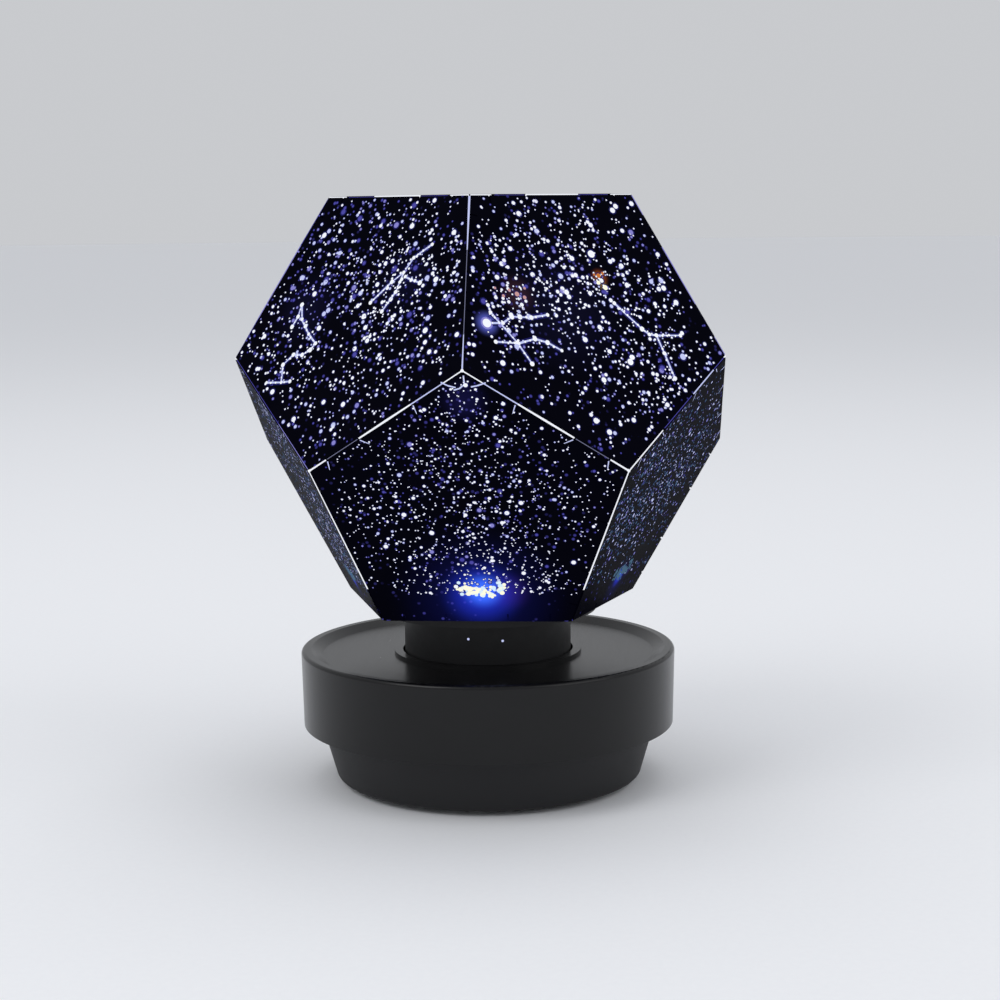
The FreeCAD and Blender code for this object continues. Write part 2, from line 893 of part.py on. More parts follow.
def make_pinion():
    """The gap between two teeth faces the large gear's first tooth."""
    facing = motor_angle + PI + PI / pinion_teeth
    toothed = gear_blank(pinion_teeth, gear_bottom, pinion_top, facing, pinion_x, pinion_y)
    hub_low = motor_top + motor_boss_height + pinion_gap
    hub = cylinder(pinion_hub_radius, hub_low, gear_bottom, pinion_x, pinion_y)
    bore = cylinder(shaft_radius, hub_low, pinion_top, pinion_x, pinion_y)
    return joined([toothed, hub]).cut(bore)


# Battery cell and its contact clips
def make_cell():
    body = Part.makeCylinder(
        cell_radius, cell_length - cell_nub_height, V(-cell_length / 2, cell_centre_y, cell_axis), V(1, 0, 0)
    )
    nub = Part.makeCylinder(
        cell_nub_radius, cell_length, V(-cell_length / 2, cell_centre_y, cell_axis), V(1, 0, 0)
    )
    return joined([body, nub])


def make_clips():
    clips = []
    for side in (-1, 1):
        inner = side * (cell_length / 2 + clip_gap)
        outer = inner + side * clip_thickness
        foot = inner - side * clip_foot
        y_low = cell_centre_y - clip_width / 2
        y_high = cell_centre_y + clip_width / 2
        upright = block(min(inner, outer), max(inner, outer), y_low, y_high,
                        floor_top, floor_top + clip_height)
        sole = block(min(foot, outer), max(foot, outer), y_low, y_high,
                     floor_top, floor_top + min(clip_thickness, cell_lift / 2))
        clips.append(joined([upright, sole]))
    return group(clips)


# Main board, its parts and screws
def make_board():
    board = block(board_x - board_width / 2, board_x + board_width / 2,
                  board_y - board_length / 2, board_y + board_length / 2, board_bottom, board_top)
    for x, y in board_corners():
        board = board.cut(cylinder(board_screw_radius, board_bottom, board_top, x, y))
    return board


def connector_places():
    """The motor's and the battery's sockets, side by side behind the board's front screws."""
    y = board_y - board_length / 2 + 2 * board_post_inset + connector_depth / 2
    for share in connector_shares:
        yield board_x + share * board_width, y


def make_board_parts():
    half = chip_share * board_width / 2
    chip = block(board_x - half, board_x + half, board_y - half, board_y + half,
                 board_top, board_top + chip_height)
    sockets = []
    for x, y in connector_places():
        sockets.append(block(
            x - connector_width / 2, x + connector_width / 2,
            y - connector_depth / 2, y + connector_depth / 2,
            board_top, board_top + connector_height,
        ))
    can = cylinder(capacitor_radius, board_top, board_top + capacitor_height,
                   board_x, board_y + board_length / 2 - 2 * capacitor_radius)
    return group([chip, can] + sockets)


def make_board_screws():
    return group([
        screw_down(x, y, board_top, board_lift / 2 + board_thickness, board_screw_radius,
                   board_screw_head, board_screw_head_height)
        for x, y in board_corners()
    ])


# Key board behind the control panel, its switches, the buttons and the power socket
def make_key_board():
    return block(-key_board_width / 2, key_board_width / 2, key_board_back, key_board_front,
                 flange_top, plate_under - key_board_top_gap)


def make_switches():
    switches = []
    half = switch_size / 2
    for x in button_places():
        body = block(x - half, x + half, key_board_front, switch_front,
                     button_height - half, button_height + half)
        stub = Part.makeCylinder(switch_stub_radius, stub_front - key_board_front,
                                 V(x, key_board_front, button_height), V(0, 1, 0))
        switches.append(joined([body, stub]))
    return group(switches)


def make_button(x):
    length = panel_flat + button_proud - button_back
    cap = Part.makeCylinder(button_radius, length, V(x, button_back, button_height), V(0, 1, 0))
    flange = Part.makeCylinder(button_flange, button_flange_thickness,
                               V(x, button_back, button_height), V(0, 1, 0))
    button = joined([cap, flange])
    face = panel_flat + button_proud
    ball = (button_radius ** 2 + button_dish ** 2) / (2 * button_dish)
    hollow = Part.makeSphere(ball, V(x, face + ball - button_dish / 2, button_height))
    return button.cut(hollow)


def make_inlet():
    shell = stadium(inlet_width, inlet_height, key_board_front, inlet_front)
    room = stadium(inlet_width - 2 * inlet_wall, inlet_height - 2 * inlet_wall,
                   key_board_front + panel_wall, inlet_front)
    tongue = block(-inlet_tongue_width / 2, inlet_tongue_width / 2, key_board_front + panel_wall / 2,
                   inlet_front - inlet_wall, inlet_axis - inlet_tongue_thickness / 2,
                   inlet_axis + inlet_tongue_thickness / 2)
    return joined([shell.cut(room), tongue])


# Wires held inside the base
def make_led_wires():
    """Two leads from the board, in at the column's window and up its bore to the lamp."""
    window_middle = floor_top + column_flange + wire_window
    landing = board_x - board_width / 2 + board_post_radius
    wires = []
    for y in (-wire_spacing / 2, wire_spacing / 2):
        wires.append(cable([
            V(0, y, led_board_top - led_board_thickness / 2),
            V(0, y, window_middle),
            V(landing, y, window_middle),
            V(landing, y, board_top),
        ], wire_radius))
    return group(wires)


def make_battery_wires():
    """One lead from each contact clip, over the cell, down into the battery's socket."""
    clip_x = cell_length / 2 + clip_gap + clip_thickness / 2
    clip_y = cell_centre_y + clip_width / 4
    clip_top = floor_top + clip_height
    socket_x, socket_y = list(connector_places())[1]
    socket_top = board_top + connector_height
    near_x = socket_x + wire_spacing / 4
    far_x = socket_x - wire_spacing / 4
    near_rise = max(clip_top, socket_top) + battery_wire_rise
    far_rise = max(clip_top, socket_top) + battery_pair_rise
    near = cable([
        V(clip_x, clip_y, clip_top),
        V(clip_x, clip_y, near_rise),
        V(near_x, socket_y, near_rise),
        V(near_x, socket_y, socket_top),
    ], wire_radius)
    far = cable([
        V(-clip_x, clip_y, clip_top),
        V(-clip_x, clip_y, far_rise),
        V(0, cell_centre_y + cell_radius / 2, far_rise),
        V(far_x, socket_y, far_rise),
        V(far_x, socket_y, socket_top),
    ], wire_radius)
    return group([near, far])


def make_motor_wires():
    """The motor's leads in one sleeve, round the column and down into the motor's socket."""
    leave = motor_angle - 3 * PI / 4
    start_x = motor_x + motor_radius * math.cos(leave)
    start_y = motor_y + motor_radius * math.sin(leave)
    away = wire_rise + wire_pair_rise
    socket_x, socket_y = list(connector_places())[0]
    socket_top = board_top + connector_height
    level = socket_top + wire_rise
    return cable([
        V(start_x, start_y, level),
        V(start_x + away * math.cos(leave), start_y + away * math.sin(leave), level),
        V(column_body_radius, column_body_radius + wire_spacing, level + wire_rise / 2),
        V(socket_x, socket_y + connector_depth, level + wire_rise),
        V(socket_x, socket_y, level + wire_rise / 2),
        V(socket_x, socket_y, socket_top),
    ], wire_radius)


def make_key_wires():
    """The button board's leads in one sleeve, forward and down to the main board."""
    start_x = board_x - board_width / 2
    low = flange_top + wire_pair_rise
    end_x = board_x - board_width / 4
    end_y = board_y + board_length / 2 - board_post_inset - key_wire_inset
    return cable([
        V(start_x, key_board_back, low),
        V(start_x, key_board_back - wire_pair_rise, low),
        V(end_x, end_y + wire_rise, low - wire_rise),
        V(end_x, end_y, board_top + wire_pair_rise),
        V(end_x, end_y, board_top),
    ], wire_radius)


def build():
    pieces["base_pan"] = make_base_pan()
    pieces["base_shell"] = make_base_shell()
    pieces["rubber_feet"] = make_feet()
    pieces["housing_screws"] = make_housing_screws()
    pieces["led_column"] = make_column()
    pieces["column_screws"] = make_column_screws()
    pieces["thrust_washer"] = make_washer()
    pieces["hub_circlip"] = make_circlip()
    pieces["led_board"] = make_led_board()
    pieces["led_emitter"] = make_led_emitter()
    pieces["led_lens"] = make_led_lens()
    pieces["turntable_gear"] = make_gear()
    pieces["turntable_hub"] = make_hub()
    pieces["hub_bush"] = make_bush()
    pieces["gear_screws"] = make_gear_screws()
    pieces["ball_ring"] = make_ball_ring()
    pieces["ball_rivets"] = make_rivets()
    make_ball()
    pieces["gear_motor"] = make_motor()
    pieces["motor_screws"] = make_motor_screws()
    pieces["motor_shaft"] = make_shaft()
    pieces["drive_pinion"] = make_pinion()
    pieces["battery_cell"] = make_cell()
    pieces["battery_clips"] = make_clips()
    pieces["main_board"] = make_board()
    pieces["board_parts"] = make_board_parts()
    pieces["board_screws"] = make_board_screws()
    pieces["key_board"] = make_key_board()
    pieces["key_switches"] = make_switches()
    for name, x in zip(("light_button", "colour_button", "rotate_button"), button_places()):
        pieces[name] = make_button(x)
    pieces["usb_inlet"] = make_inlet()
    pieces["led_wires"] = make_led_wires()
    pieces["battery_wires"] = make_battery_wires()
    pieces["motor_wires"] = make_motor_wires()
    pieces["key_wires"] = make_key_wires()


build()
for name, shape in pieces.items():
    sound = shape.isValid() and all(solid.isClosed() for solid in shape.Solids)
    print(name, len(shape.Solids), round(shape.Volume), "sound" if sound else "BROKEN")
    shape.exportStep(os.path.join("parts", name + ".step"))
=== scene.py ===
import math
import random

import bmesh
import bpy
from mathutils import Matrix, Vector


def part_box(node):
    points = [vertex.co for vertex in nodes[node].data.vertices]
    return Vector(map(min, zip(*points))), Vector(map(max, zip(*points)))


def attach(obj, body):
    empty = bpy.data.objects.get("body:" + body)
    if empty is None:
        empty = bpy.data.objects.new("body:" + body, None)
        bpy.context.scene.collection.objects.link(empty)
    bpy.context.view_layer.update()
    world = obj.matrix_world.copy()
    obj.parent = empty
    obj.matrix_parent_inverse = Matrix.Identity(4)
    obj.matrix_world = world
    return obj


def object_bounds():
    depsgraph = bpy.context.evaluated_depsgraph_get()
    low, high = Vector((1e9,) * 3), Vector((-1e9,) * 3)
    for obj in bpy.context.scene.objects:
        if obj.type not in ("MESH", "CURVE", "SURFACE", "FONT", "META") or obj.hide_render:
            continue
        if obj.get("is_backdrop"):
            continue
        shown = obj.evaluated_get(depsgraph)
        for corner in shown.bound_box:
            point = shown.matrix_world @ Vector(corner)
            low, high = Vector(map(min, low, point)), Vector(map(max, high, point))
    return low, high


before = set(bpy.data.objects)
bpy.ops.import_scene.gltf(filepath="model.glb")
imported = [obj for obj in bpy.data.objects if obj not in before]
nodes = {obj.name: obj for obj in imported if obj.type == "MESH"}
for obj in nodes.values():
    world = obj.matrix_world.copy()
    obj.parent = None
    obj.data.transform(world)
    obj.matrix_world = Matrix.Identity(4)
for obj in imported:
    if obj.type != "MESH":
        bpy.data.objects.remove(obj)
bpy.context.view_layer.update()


# Base pan
# The lower half of the housing: a tapered bowl with bosses and posts inside.
# Injection moulded ABS with a fine spark-eroded texture, screwed up into the shell.
def linear(hex_colour):
    """An sRGB hex colour as the linear colour that a shader takes."""
    parts = [int(hex_colour[i:i + 2], 16) / 255 for i in (1, 3, 5)]
    return [c / 12.92 if c <= 0.04045 else ((c + 0.055) / 1.055) ** 2.4 for c in parts] + [1]


def add_node(tree, kind, sockets, **settings):
    """Adds a shader node with its settings; a socket takes a value or another node's output."""
    node = tree.nodes.new(kind)
    for name, value in settings.items():
        setattr(node, name, value)
    for socket, value in sockets.items():
        if isinstance(value, bpy.types.NodeSocket):
            tree.links.new(value, node.inputs[socket])
        else:
            node.inputs[socket].default_value = value
    return node


def finish_named(name, **sockets):
    """A new material with its plain values on the shader, and the tree, shader and place to build on."""
    material = bpy.data.materials.new(name)
    material.use_nodes = True
    tree = material.node_tree
    shader = tree.nodes["Principled BSDF"]
    for socket, value in sockets.items():
        shader.inputs[socket.replace("_", " ")].default_value = value
    place = add_node(tree, "ShaderNodeTexCoord", {}).outputs["Object"]
    return material, tree, shader, place


def dress(names, material):
    """Gives CAD pieces a finish in place of the plain one that they come with."""
    for name in names:
        for held in nodes[name].material_slots:
            held.material = material


# ABS, spark-eroded mould: an even 0.25 mm grain that breaks up the light, with faint scuffs
pan_abs, tree, shader, place = finish_named("abs_spark_textured", IOR=1.53, Specular_IOR_Level=0.4)
grain = add_node(tree, "ShaderNodeTexNoise", {"Vector": place, "Scale": 1 / 0.00025, "Detail": 3})
scuff = add_node(tree, "ShaderNodeTexNoise", {
    "Vector": place, "Scale": 1 / 0.018, "Detail": 6, "Roughness": 0.7,
})
colour = add_node(tree, "ShaderNodeMix", {
    "Factor": scuff.outputs["Fac"], "A": linear("#0A0A0C"), "B": linear("#131317"),
}, data_type="RGBA")
rough = add_node(tree, "ShaderNodeMapRange", {
    "Value": scuff.outputs["Fac"], "To Min": 0.52, "To Max": 0.68,
})
bump = add_node(tree, "ShaderNodeBump", {
    "Height": grain.outputs["Fac"], "Strength": 0.35, "Distance": 0.00004,
})
tree.links.new(colour.outputs["Result"], shader.inputs["Base Color"])
tree.links.new(rough.outputs["Result"], shader.inputs["Roughness"])
tree.links.new(bump.outputs["Normal"], shader.inputs["Normal"])
dress(["base_pan"], pan_abs)


# Feet
# Four soft pads that sit in round pockets under the pan.
# Die-cut from black nitrile rubber sheet and stuck in place.
# Rubber: matt, slightly dusty and paler at random, with a 0.6 mm mottle
rubber, tree, shader, place = finish_named("nitrile_rubber_die_cut", IOR=1.5, Specular_IOR_Level=0.3)
mottle = add_node(tree, "ShaderNodeTexNoise", {"Vector": place, "Scale": 1 / 0.0006, "Detail": 4})
dust = add_node(tree, "ShaderNodeTexNoise", {"Vector": place, "Scale": 1 / 0.004, "Detail": 3})
colour = add_node(tree, "ShaderNodeMix", {
    "Factor": dust.outputs["Fac"], "A": linear("#101011"), "B": linear("#26262A"),
}, data_type="RGBA")
rough = add_node(tree, "ShaderNodeMapRange", {
    "Value": mottle.outputs["Fac"], "To Min": 0.75, "To Max": 0.95,
})
bump = add_node(tree, "ShaderNodeBump", {
    "Height": mottle.outputs["Fac"], "Strength": 0.3, "Distance": 0.00005,
})
tree.links.new(colour.outputs["Result"], shader.inputs["Base Color"])
tree.links.new(rough.outputs["Result"], shader.inputs["Roughness"])
tree.links.new(bump.outputs["Normal"], shader.inputs["Normal"])
dress(["rubber_feet"], rubber)


# Screws
# Small machine screws that hold the housing, column, motor, boards and gear.
# Cold-headed steel, zinc plated and clear passivated.
# Zinc plate: bright grey with a faint blue and straw cloud every few millimetres
zinc, tree, shader, place = finish_named("steel_zinc_plated", Metallic=1.0)
cloud = add_node(tree, "ShaderNodeTexNoise", {"Vector": place, "Scale": 1 / 0.0015, "Detail": 4})
colour = add_node(tree, "ShaderNodeMix", {
    "Factor": cloud.outputs["Fac"], "A": linear("#B9BDC6"), "B": linear("#CFC9B4"),
}, data_type="RGBA")
rough = add_node(tree, "ShaderNodeMapRange", {
    "Value": cloud.outputs["Fac"], "To Min": 0.25, "To Max": 0.45,
})
tree.links.new(colour.outputs["Result"], shader.inputs["Base Color"])
tree.links.new(rough.outputs["Result"], shader.inputs["Roughness"])
dress(["housing_screws", "column_screws", "motor_screws", "board_screws", "gear_screws"], zinc)


# Light column
# The fixed post in the middle: it carries the turntable and holds the lamp up inside the ball.
# Turned from aluminium bar, left as machined, with turning lines around it.
# Turned aluminium: fine rings 0.6 mm apart up its height, a little stain.
# A wave pattern repeats every pi / 10 at a scale of 1.
turned, tree, shader, place = finish_named("aluminium_turned", Metallic=1.0)
rings = add_node(tree, "ShaderNodeTexWave", {
    "Vector": place, "Scale": math.pi / 10 / 0.000592, "Distortion": 0.4, "Detail": 2,
}, bands_direction="Z")
stain = add_node(tree, "ShaderNodeTexNoise", {"Vector": place, "Scale": 1 / 0.005, "Detail": 4})
colour = add_node(tree, "ShaderNodeMix", {
    "Factor": stain.outputs["Fac"], "A": linear("#C9CBCE"), "B": linear("#A9ABAF"),
}, data_type="RGBA")
rough = add_node(tree, "ShaderNodeMapRange", {
    "Value": rings.outputs["Fac"], "To Min": 0.28, "To Max": 0.42,
})
bump = add_node(tree, "ShaderNodeBump", {
    "Height": rings.outputs["Fac"], "Strength": 0.2, "Distance": 0.00002,
})
tree.links.new(colour.outputs["Result"], shader.inputs["Base Color"])
tree.links.new(rough.outputs["Result"], shader.inputs["Roughness"])
tree.links.new(bump.outputs["Normal"], shader.inputs["Normal"])
dress(["led_column"], turned)


# Retaining ring and motor shaft
# The ring snaps into the column's groove above the bush; the shaft drives the pinion.
# Stamped and ground spring steel, blued in oil.
# Blued steel: dark, satin, with a soft blue-brown drift
blued, tree, shader, place = finish_named("spring_steel_blued", Metallic=1.0)
drift = add_node(tree, "ShaderNodeTexNoise", {"Vector": place, "Scale": 1 / 0.002, "Detail": 3})
colour = add_node(tree, "ShaderNodeMix", {
    "Factor": drift.outputs["Fac"], "A": linear("#3A4049"), "B": linear("#59524B"),
}, data_type="RGBA")
rough = add_node(tree, "ShaderNodeMapRange", {
    "Value": drift.outputs["Fac"], "To Min": 0.3, "To Max": 0.45,
})
tree.links.new(colour.outputs["Result"], shader.inputs["Base Color"])
tree.links.new(rough.outputs["Result"], shader.inputs["Roughness"])
dress(["hub_circlip", "motor_shaft"], blued)


# Gears, bush and washer
# A 16-tooth pinion drives the 72-tooth ring gear; the bush and washer run on the column.
# Moulded acetal, white, dry running, with a waxy sheen.
# Acetal: off-white and slightly see-through at the skin, with faint flow marks 1.5 mm apart
acetal, tree, shader, place = finish_named("acetal_moulded", IOR=1.48, Subsurface_Weight=0.1)
shader.inputs["Subsurface Radius"].default_value = (0.001, 0.001, 0.001)
flow = add_node(tree, "ShaderNodeTexNoise", {
    "Vector": place, "Scale": 1 / 0.0015, "Detail": 3, "Distortion": 1.2,
})
colour = add_node(tree, "ShaderNodeMix", {
    "Factor": flow.outputs["Fac"], "A": linear("#E4E3DC"), "B": linear("#D3D1C6"),
}, data_type="RGBA")
rough = add_node(tree, "ShaderNodeMapRange", {
    "Value": flow.outputs["Fac"], "To Min": 0.32, "To Max": 0.46,
})
tree.links.new(colour.outputs["Result"], shader.inputs["Base Color"])
tree.links.new(rough.outputs["Result"], shader.inputs["Roughness"])
dress(["thrust_washer", "turntable_gear", "hub_bush", "drive_pinion"], acetal)


# Gear motor
# A flat synchronous motor with two ears, held on posts by its screws.
# Deep-drawn steel can, nickel plated, with a faint grain from drawing.
# Drawn can: grain runs up the wall, about 0.2 mm apart, with a few storage stains
drawn, tree, shader, place = finish_named("steel_can_nickel_plated", Metallic=1.0)
stretched = add_node(tree, "ShaderNodeMapping", {"Vector": place, "Scale": (1, 1, 0.05)})
streak = add_node(tree, "ShaderNodeTexNoise", {
    "Vector": stretched.outputs["Vector"], "Scale": 1 / 0.0002, "Detail": 2,
})
blotch = add_node(tree, "ShaderNodeTexNoise", {"Vector": place, "Scale": 1 / 0.006, "Detail": 5})
colour = add_node(tree, "ShaderNodeMix", {
    "Factor": blotch.outputs["Fac"], "A": linear("#B4B3AE"), "B": linear("#9C9A94"),
}, data_type="RGBA")
rough = add_node(tree, "ShaderNodeMapRange", {
    "Value": streak.outputs["Fac"], "To Min": 0.22, "To Max": 0.4,
})
tree.links.new(colour.outputs["Result"], shader.inputs["Base Color"])
tree.links.new(rough.outputs["Result"], shader.inputs["Roughness"])
dress(["gear_motor"], drawn)


# Battery cell
# A rechargeable cell that lies in saddles between two contact clips.
# Steel can in a printed PVC shrink sleeve, plain blue.
# Shrink sleeve: smooth, glossy, with slack ripples about 3 mm long
sleeve, tree, shader, place = finish_named(
    "pvc_shrink_sleeve", IOR=1.53, Coat_Weight=0.3, Coat_Roughness=0.1,
)
ripple = add_node(tree, "ShaderNodeTexNoise", {"Vector": place, "Scale": 1 / 0.003, "Detail": 2})
fleck = add_node(tree, "ShaderNodeTexNoise", {"Vector": place, "Scale": 1 / 0.0004, "Detail": 2})
colour = add_node(tree, "ShaderNodeMix", {
    "Factor": fleck.outputs["Fac"], "A": linear("#1F4F8F"), "B": linear("#235897"),
}, data_type="RGBA")
rough = add_node(tree, "ShaderNodeMapRange", {
    "Value": ripple.outputs["Fac"], "To Min": 0.2, "To Max": 0.32,
})
bump = add_node(tree, "ShaderNodeBump", {
    "Height": ripple.outputs["Fac"], "Strength": 0.25, "Distance": 0.0001,
})
tree.links.new(colour.outputs["Result"], shader.inputs["Base Color"])
tree.links.new(rough.outputs["Result"], shader.inputs["Roughness"])
tree.links.new(bump.outputs["Normal"], shader.inputs["Normal"])
dress(["battery_cell"], sleeve)


# Contacts and socket
# Two clips grip the cell's ends, and the charging socket is a small drawn shell with a tongue.
# Stamped and folded from thin steel strip, nickel plated.
# Nickel: warm bright metal with light scratches 0.15 mm apart along X
nickel, tree, shader, place = finish_named("steel_strip_nickel_plated", Metallic=1.0)
brushed = add_node(tree, "ShaderNodeMapping", {"Vector": place, "Scale": (0.04, 1, 1)})
scratch = add_node(tree, "ShaderNodeTexNoise", {
    "Vector": brushed.outputs["Vector"], "Scale": 1 / 0.00015, "Detail": 2,
})
colour = add_node(tree, "ShaderNodeMix", {
    "Factor": scratch.outputs["Fac"], "A": linear("#C7C3B8"), "B": linear("#B2AEA3"),
}, data_type="RGBA")
rough = add_node(tree, "ShaderNodeMapRange", {
    "Value": scratch.outputs["Fac"], "To Min": 0.16, "To Max": 0.34,
})
tree.links.new(colour.outputs["Result"], shader.inputs["Base Color"])
tree.links.new(rough.outputs["Result"], shader.inputs["Roughness"])
dress(["battery_clips", "usb_inlet"], nickel)


# Circuit boards
# The main board on its posts and the key board behind the buttons.
# Glass-epoxy laminate under green solder mask, with copper tracks that show through it.
# Solder mask: the tracks are a 1.6 mm brick pattern, slightly raised and lighter
laminate, tree, shader, place = finish_named("glass_epoxy_solder_mask", IOR=1.52)
weave = add_node(tree, "ShaderNodeTexNoise", {"Vector": place, "Scale": 1 / 0.0008, "Detail": 2})
track = add_node(tree, "ShaderNodeTexBrick", {
    "Vector": place, "Scale": 1 / 0.0064, "Mortar Size": 0.03,
    "Color1": linear("#1C6B3C"), "Color2": linear("#17603A"), "Mortar": linear("#0E4A2A"),
})
bump = add_node(tree, "ShaderNodeBump", {
    "Height": track.outputs["Fac"], "Strength": 0.3, "Distance": 0.00004,
})
rough = add_node(tree, "ShaderNodeMapRange", {
    "Value": weave.outputs["Fac"], "To Min": 0.25, "To Max": 0.4,
})
tree.links.new(track.outputs["Color"], shader.inputs["Base Color"])
tree.links.new(rough.outputs["Result"], shader.inputs["Roughness"])
tree.links.new(bump.outputs["Normal"], shader.inputs["Normal"])
dress(["main_board", "key_board"], laminate)


# Board parts and switches
# The control chip, capacitor and wire sockets, and the three tact switches.
# Transfer-moulded epoxy and nylon, black, soldered to their boards.
# Moulded epoxy: dull grey-black with a fine 0.1 mm sandblasted grain
epoxy, tree, shader, place = finish_named("epoxy_transfer_moulded", IOR=1.55)
sand = add_node(tree, "ShaderNodeTexNoise", {"Vector": place, "Scale": 1 / 0.0001, "Detail": 2})
colour = add_node(tree, "ShaderNodeMix", {
    "Factor": sand.outputs["Fac"], "A": linear("#18181A"), "B": linear("#242427"),
}, data_type="RGBA")
rough = add_node(tree, "ShaderNodeMapRange", {
    "Value": sand.outputs["Fac"], "To Min": 0.55, "To Max": 0.75,
})
tree.links.new(colour.outputs["Result"], shader.inputs["Base Color"])
tree.links.new(rough.outputs["Result"], shader.inputs["Roughness"])
dress(["board_parts", "key_switches"], epoxy)


# Wires
# Leads from the boards to the lamp, cell, motor and buttons.
# Stranded copper in extruded PVC, red for power and black for the sleeved bundles.
# PVC insulation: soft gloss that wanders over 2 mm where the strands lie under it
for label, dark, light, held in (
    ("pvc_insulation_red", "#7A1512", "#8F1B16", ["led_wires", "battery_wires"]),
    ("pvc_insulation_black", "#101012", "#1A1A1D", ["motor_wires", "key_wires"]),
):
    lead, tree, shader, place = finish_named(label, IOR=1.53)
    strand = add_node(tree, "ShaderNodeTexNoise", {"Vector": place, "Scale": 1 / 0.002, "Detail": 3})
    colour = add_node(tree, "ShaderNodeMix", {
        "Factor": strand.outputs["Fac"], "A": linear(dark), "B": linear(light),
    }, data_type="RGBA")
    rough = add_node(tree, "ShaderNodeMapRange", {
        "Value": strand.outputs["Fac"], "To Min": 0.3, "To Max": 0.5,
    })
    tree.links.new(colour.outputs["Result"], shader.inputs["Base Color"])
    tree.links.new(rough.outputs["Result"], shader.inputs["Roughness"])
    dress(held, lead)


# Lamp
# A round white board with one power LED under a clear dome, on top of the column.
# Aluminium-core board with white mask; phosphor-filled body; moulded silicone dome.
# White mask: nearly plain, with a faint 0.5 mm stipple
mask, tree, shader, place = finish_named("white_solder_mask", IOR=1.52)
stipple = add_node(tree, "ShaderNodeTexNoise", {"Vector": place, "Scale": 1 / 0.0005, "Detail": 2})
colour = add_node(tree, "ShaderNodeMix", {
    "Factor": stipple.outputs["Fac"], "A": linear("#E9E9E6"), "B": linear("#DDDDDA"),
}, data_type="RGBA")
rough = add_node(tree, "ShaderNodeMapRange", {
    "Value": stipple.outputs["Fac"], "To Min": 0.3, "To Max": 0.45,
})
tree.links.new(colour.outputs["Result"], shader.inputs["Base Color"])
tree.links.new(rough.outputs["Result"], shader.inputs["Roughness"])
dress(["led_board"], mask)

# Phosphor: lit, so it glows blue-white, mottled by 0.3 mm phosphor grains
phosphor, tree, shader, place = finish_named("phosphor_silicone_cast", Roughness=0.5, Emission_Strength=1.0)
grains = add_node(tree, "ShaderNodeTexNoise", {"Vector": place, "Scale": 1 / 0.0003, "Detail": 2})
glow = add_node(tree, "ShaderNodeMix", {
    "Factor": grains.outputs["Fac"], "A": linear("#DDE6FF"), "B": linear("#FFFFFF"),
}, data_type="RGBA")
tree.links.new(glow.outputs["Result"], shader.inputs["Emission Color"])
dress(["led_emitter"], phosphor)

# Silicone dome: clear and slightly soft on the surface, with a 1 mm wander in its polish
dome, tree, shader, place = finish_named("silicone_dome_moulded", IOR=1.41, Transmission_Weight=1.0)
polish = add_node(tree, "ShaderNodeTexNoise", {"Vector": place, "Scale": 1 / 0.001, "Detail": 2})
rough = add_node(tree, "ShaderNodeMapRange", {
    "Value": polish.outputs["Fac"], "To Min": 0.04, "To Max": 0.12,
})
tree.links.new(rough.outputs["Result"], shader.inputs["Roughness"])
dress(["led_lens"], dome)


# Base shell
# The upper half of the housing, with the rim, the dished top, the collar and the key panel.
# Injection moulded ABS from a polished mould, so it is a deep gloss black.
# Gloss ABS: 6 mm orange peel, hairline wipe marks 0.4 mm apart that only show in a highlight
gloss_abs, tree, shader, place = finish_named("abs_gloss_moulded", IOR=1.5, Specular_IOR_Level=0.32)
peel = add_node(tree, "ShaderNodeTexNoise", {"Vector": place, "Scale": 1 / 0.006, "Detail": 1})
wiped = add_node(tree, "ShaderNodeMapping", {
    "Vector": place, "Rotation": (0, 0, 0.5), "Scale": (1, 0.03, 1),
})
hairline = add_node(tree, "ShaderNodeTexNoise", {
    "Vector": wiped.outputs["Vector"], "Scale": 1 / 0.0004, "Detail": 3, "Roughness": 0.7,
})
colour = add_node(tree, "ShaderNodeMix", {
    "Factor": peel.outputs["Fac"], "A": linear("#060607"), "B": linear("#0A0A0C"),
}, data_type="RGBA")
rough = add_node(tree, "ShaderNodeMapRange", {
    "Value": hairline.outputs["Fac"], "From Min": 0.35, "From Max": 0.75, "To Min": 0.25, "To Max": 0.275,
})
bump = add_node(tree, "ShaderNodeBump", {
    "Height": peel.outputs["Fac"], "Strength": 0.12, "Distance": 0.0001,
})
tree.links.new(colour.outputs["Result"], shader.inputs["Base Color"])
tree.links.new(rough.outputs["Result"], shader.inputs["Roughness"])
tree.links.new(bump.outputs["Normal"], shader.inputs["Normal"])
dress(["base_shell"], gloss_abs)


# Buttons
# Three round keys for light, colour and turning, marked with one, two and three raised pips.
# Moulded ABS with a satin face; the pips are moulded on and tipped with pale paint.
# Satin ABS: soft black, thumb-polished in 3 mm patches
satin_abs, tree, shader, place = finish_named("abs_satin_moulded", IOR=1.53)
thumb = add_node(tree, "ShaderNodeTexNoise", {"Vector": place, "Scale": 1 / 0.003, "Detail": 3})
tooth = add_node(tree, "ShaderNodeTexNoise", {"Vector": place, "Scale": 1 / 0.0002, "Detail": 2})
colour = add_node(tree, "ShaderNodeMix", {
    "Factor": thumb.outputs["Fac"], "A": linear("#1B1B1F"), "B": linear("#28282D"),
}, data_type="RGBA")
rough = add_node(tree, "ShaderNodeMapRange", {
    "Value": thumb.outputs["Fac"], "To Min": 0.35, "To Max": 0.55,
})
bump = add_node(tree, "ShaderNodeBump", {
    "Height": tooth.outputs["Fac"], "Strength": 0.15, "Distance": 0.00003,
})
tree.links.new(colour.outputs["Result"], shader.inputs["Base Color"])
tree.links.new(rough.outputs["Result"], shader.inputs["Roughness"])
tree.links.new(bump.outputs["Normal"], shader.inputs["Normal"])
dress(["light_button", "colour_button", "rotate_button"], satin_abs)


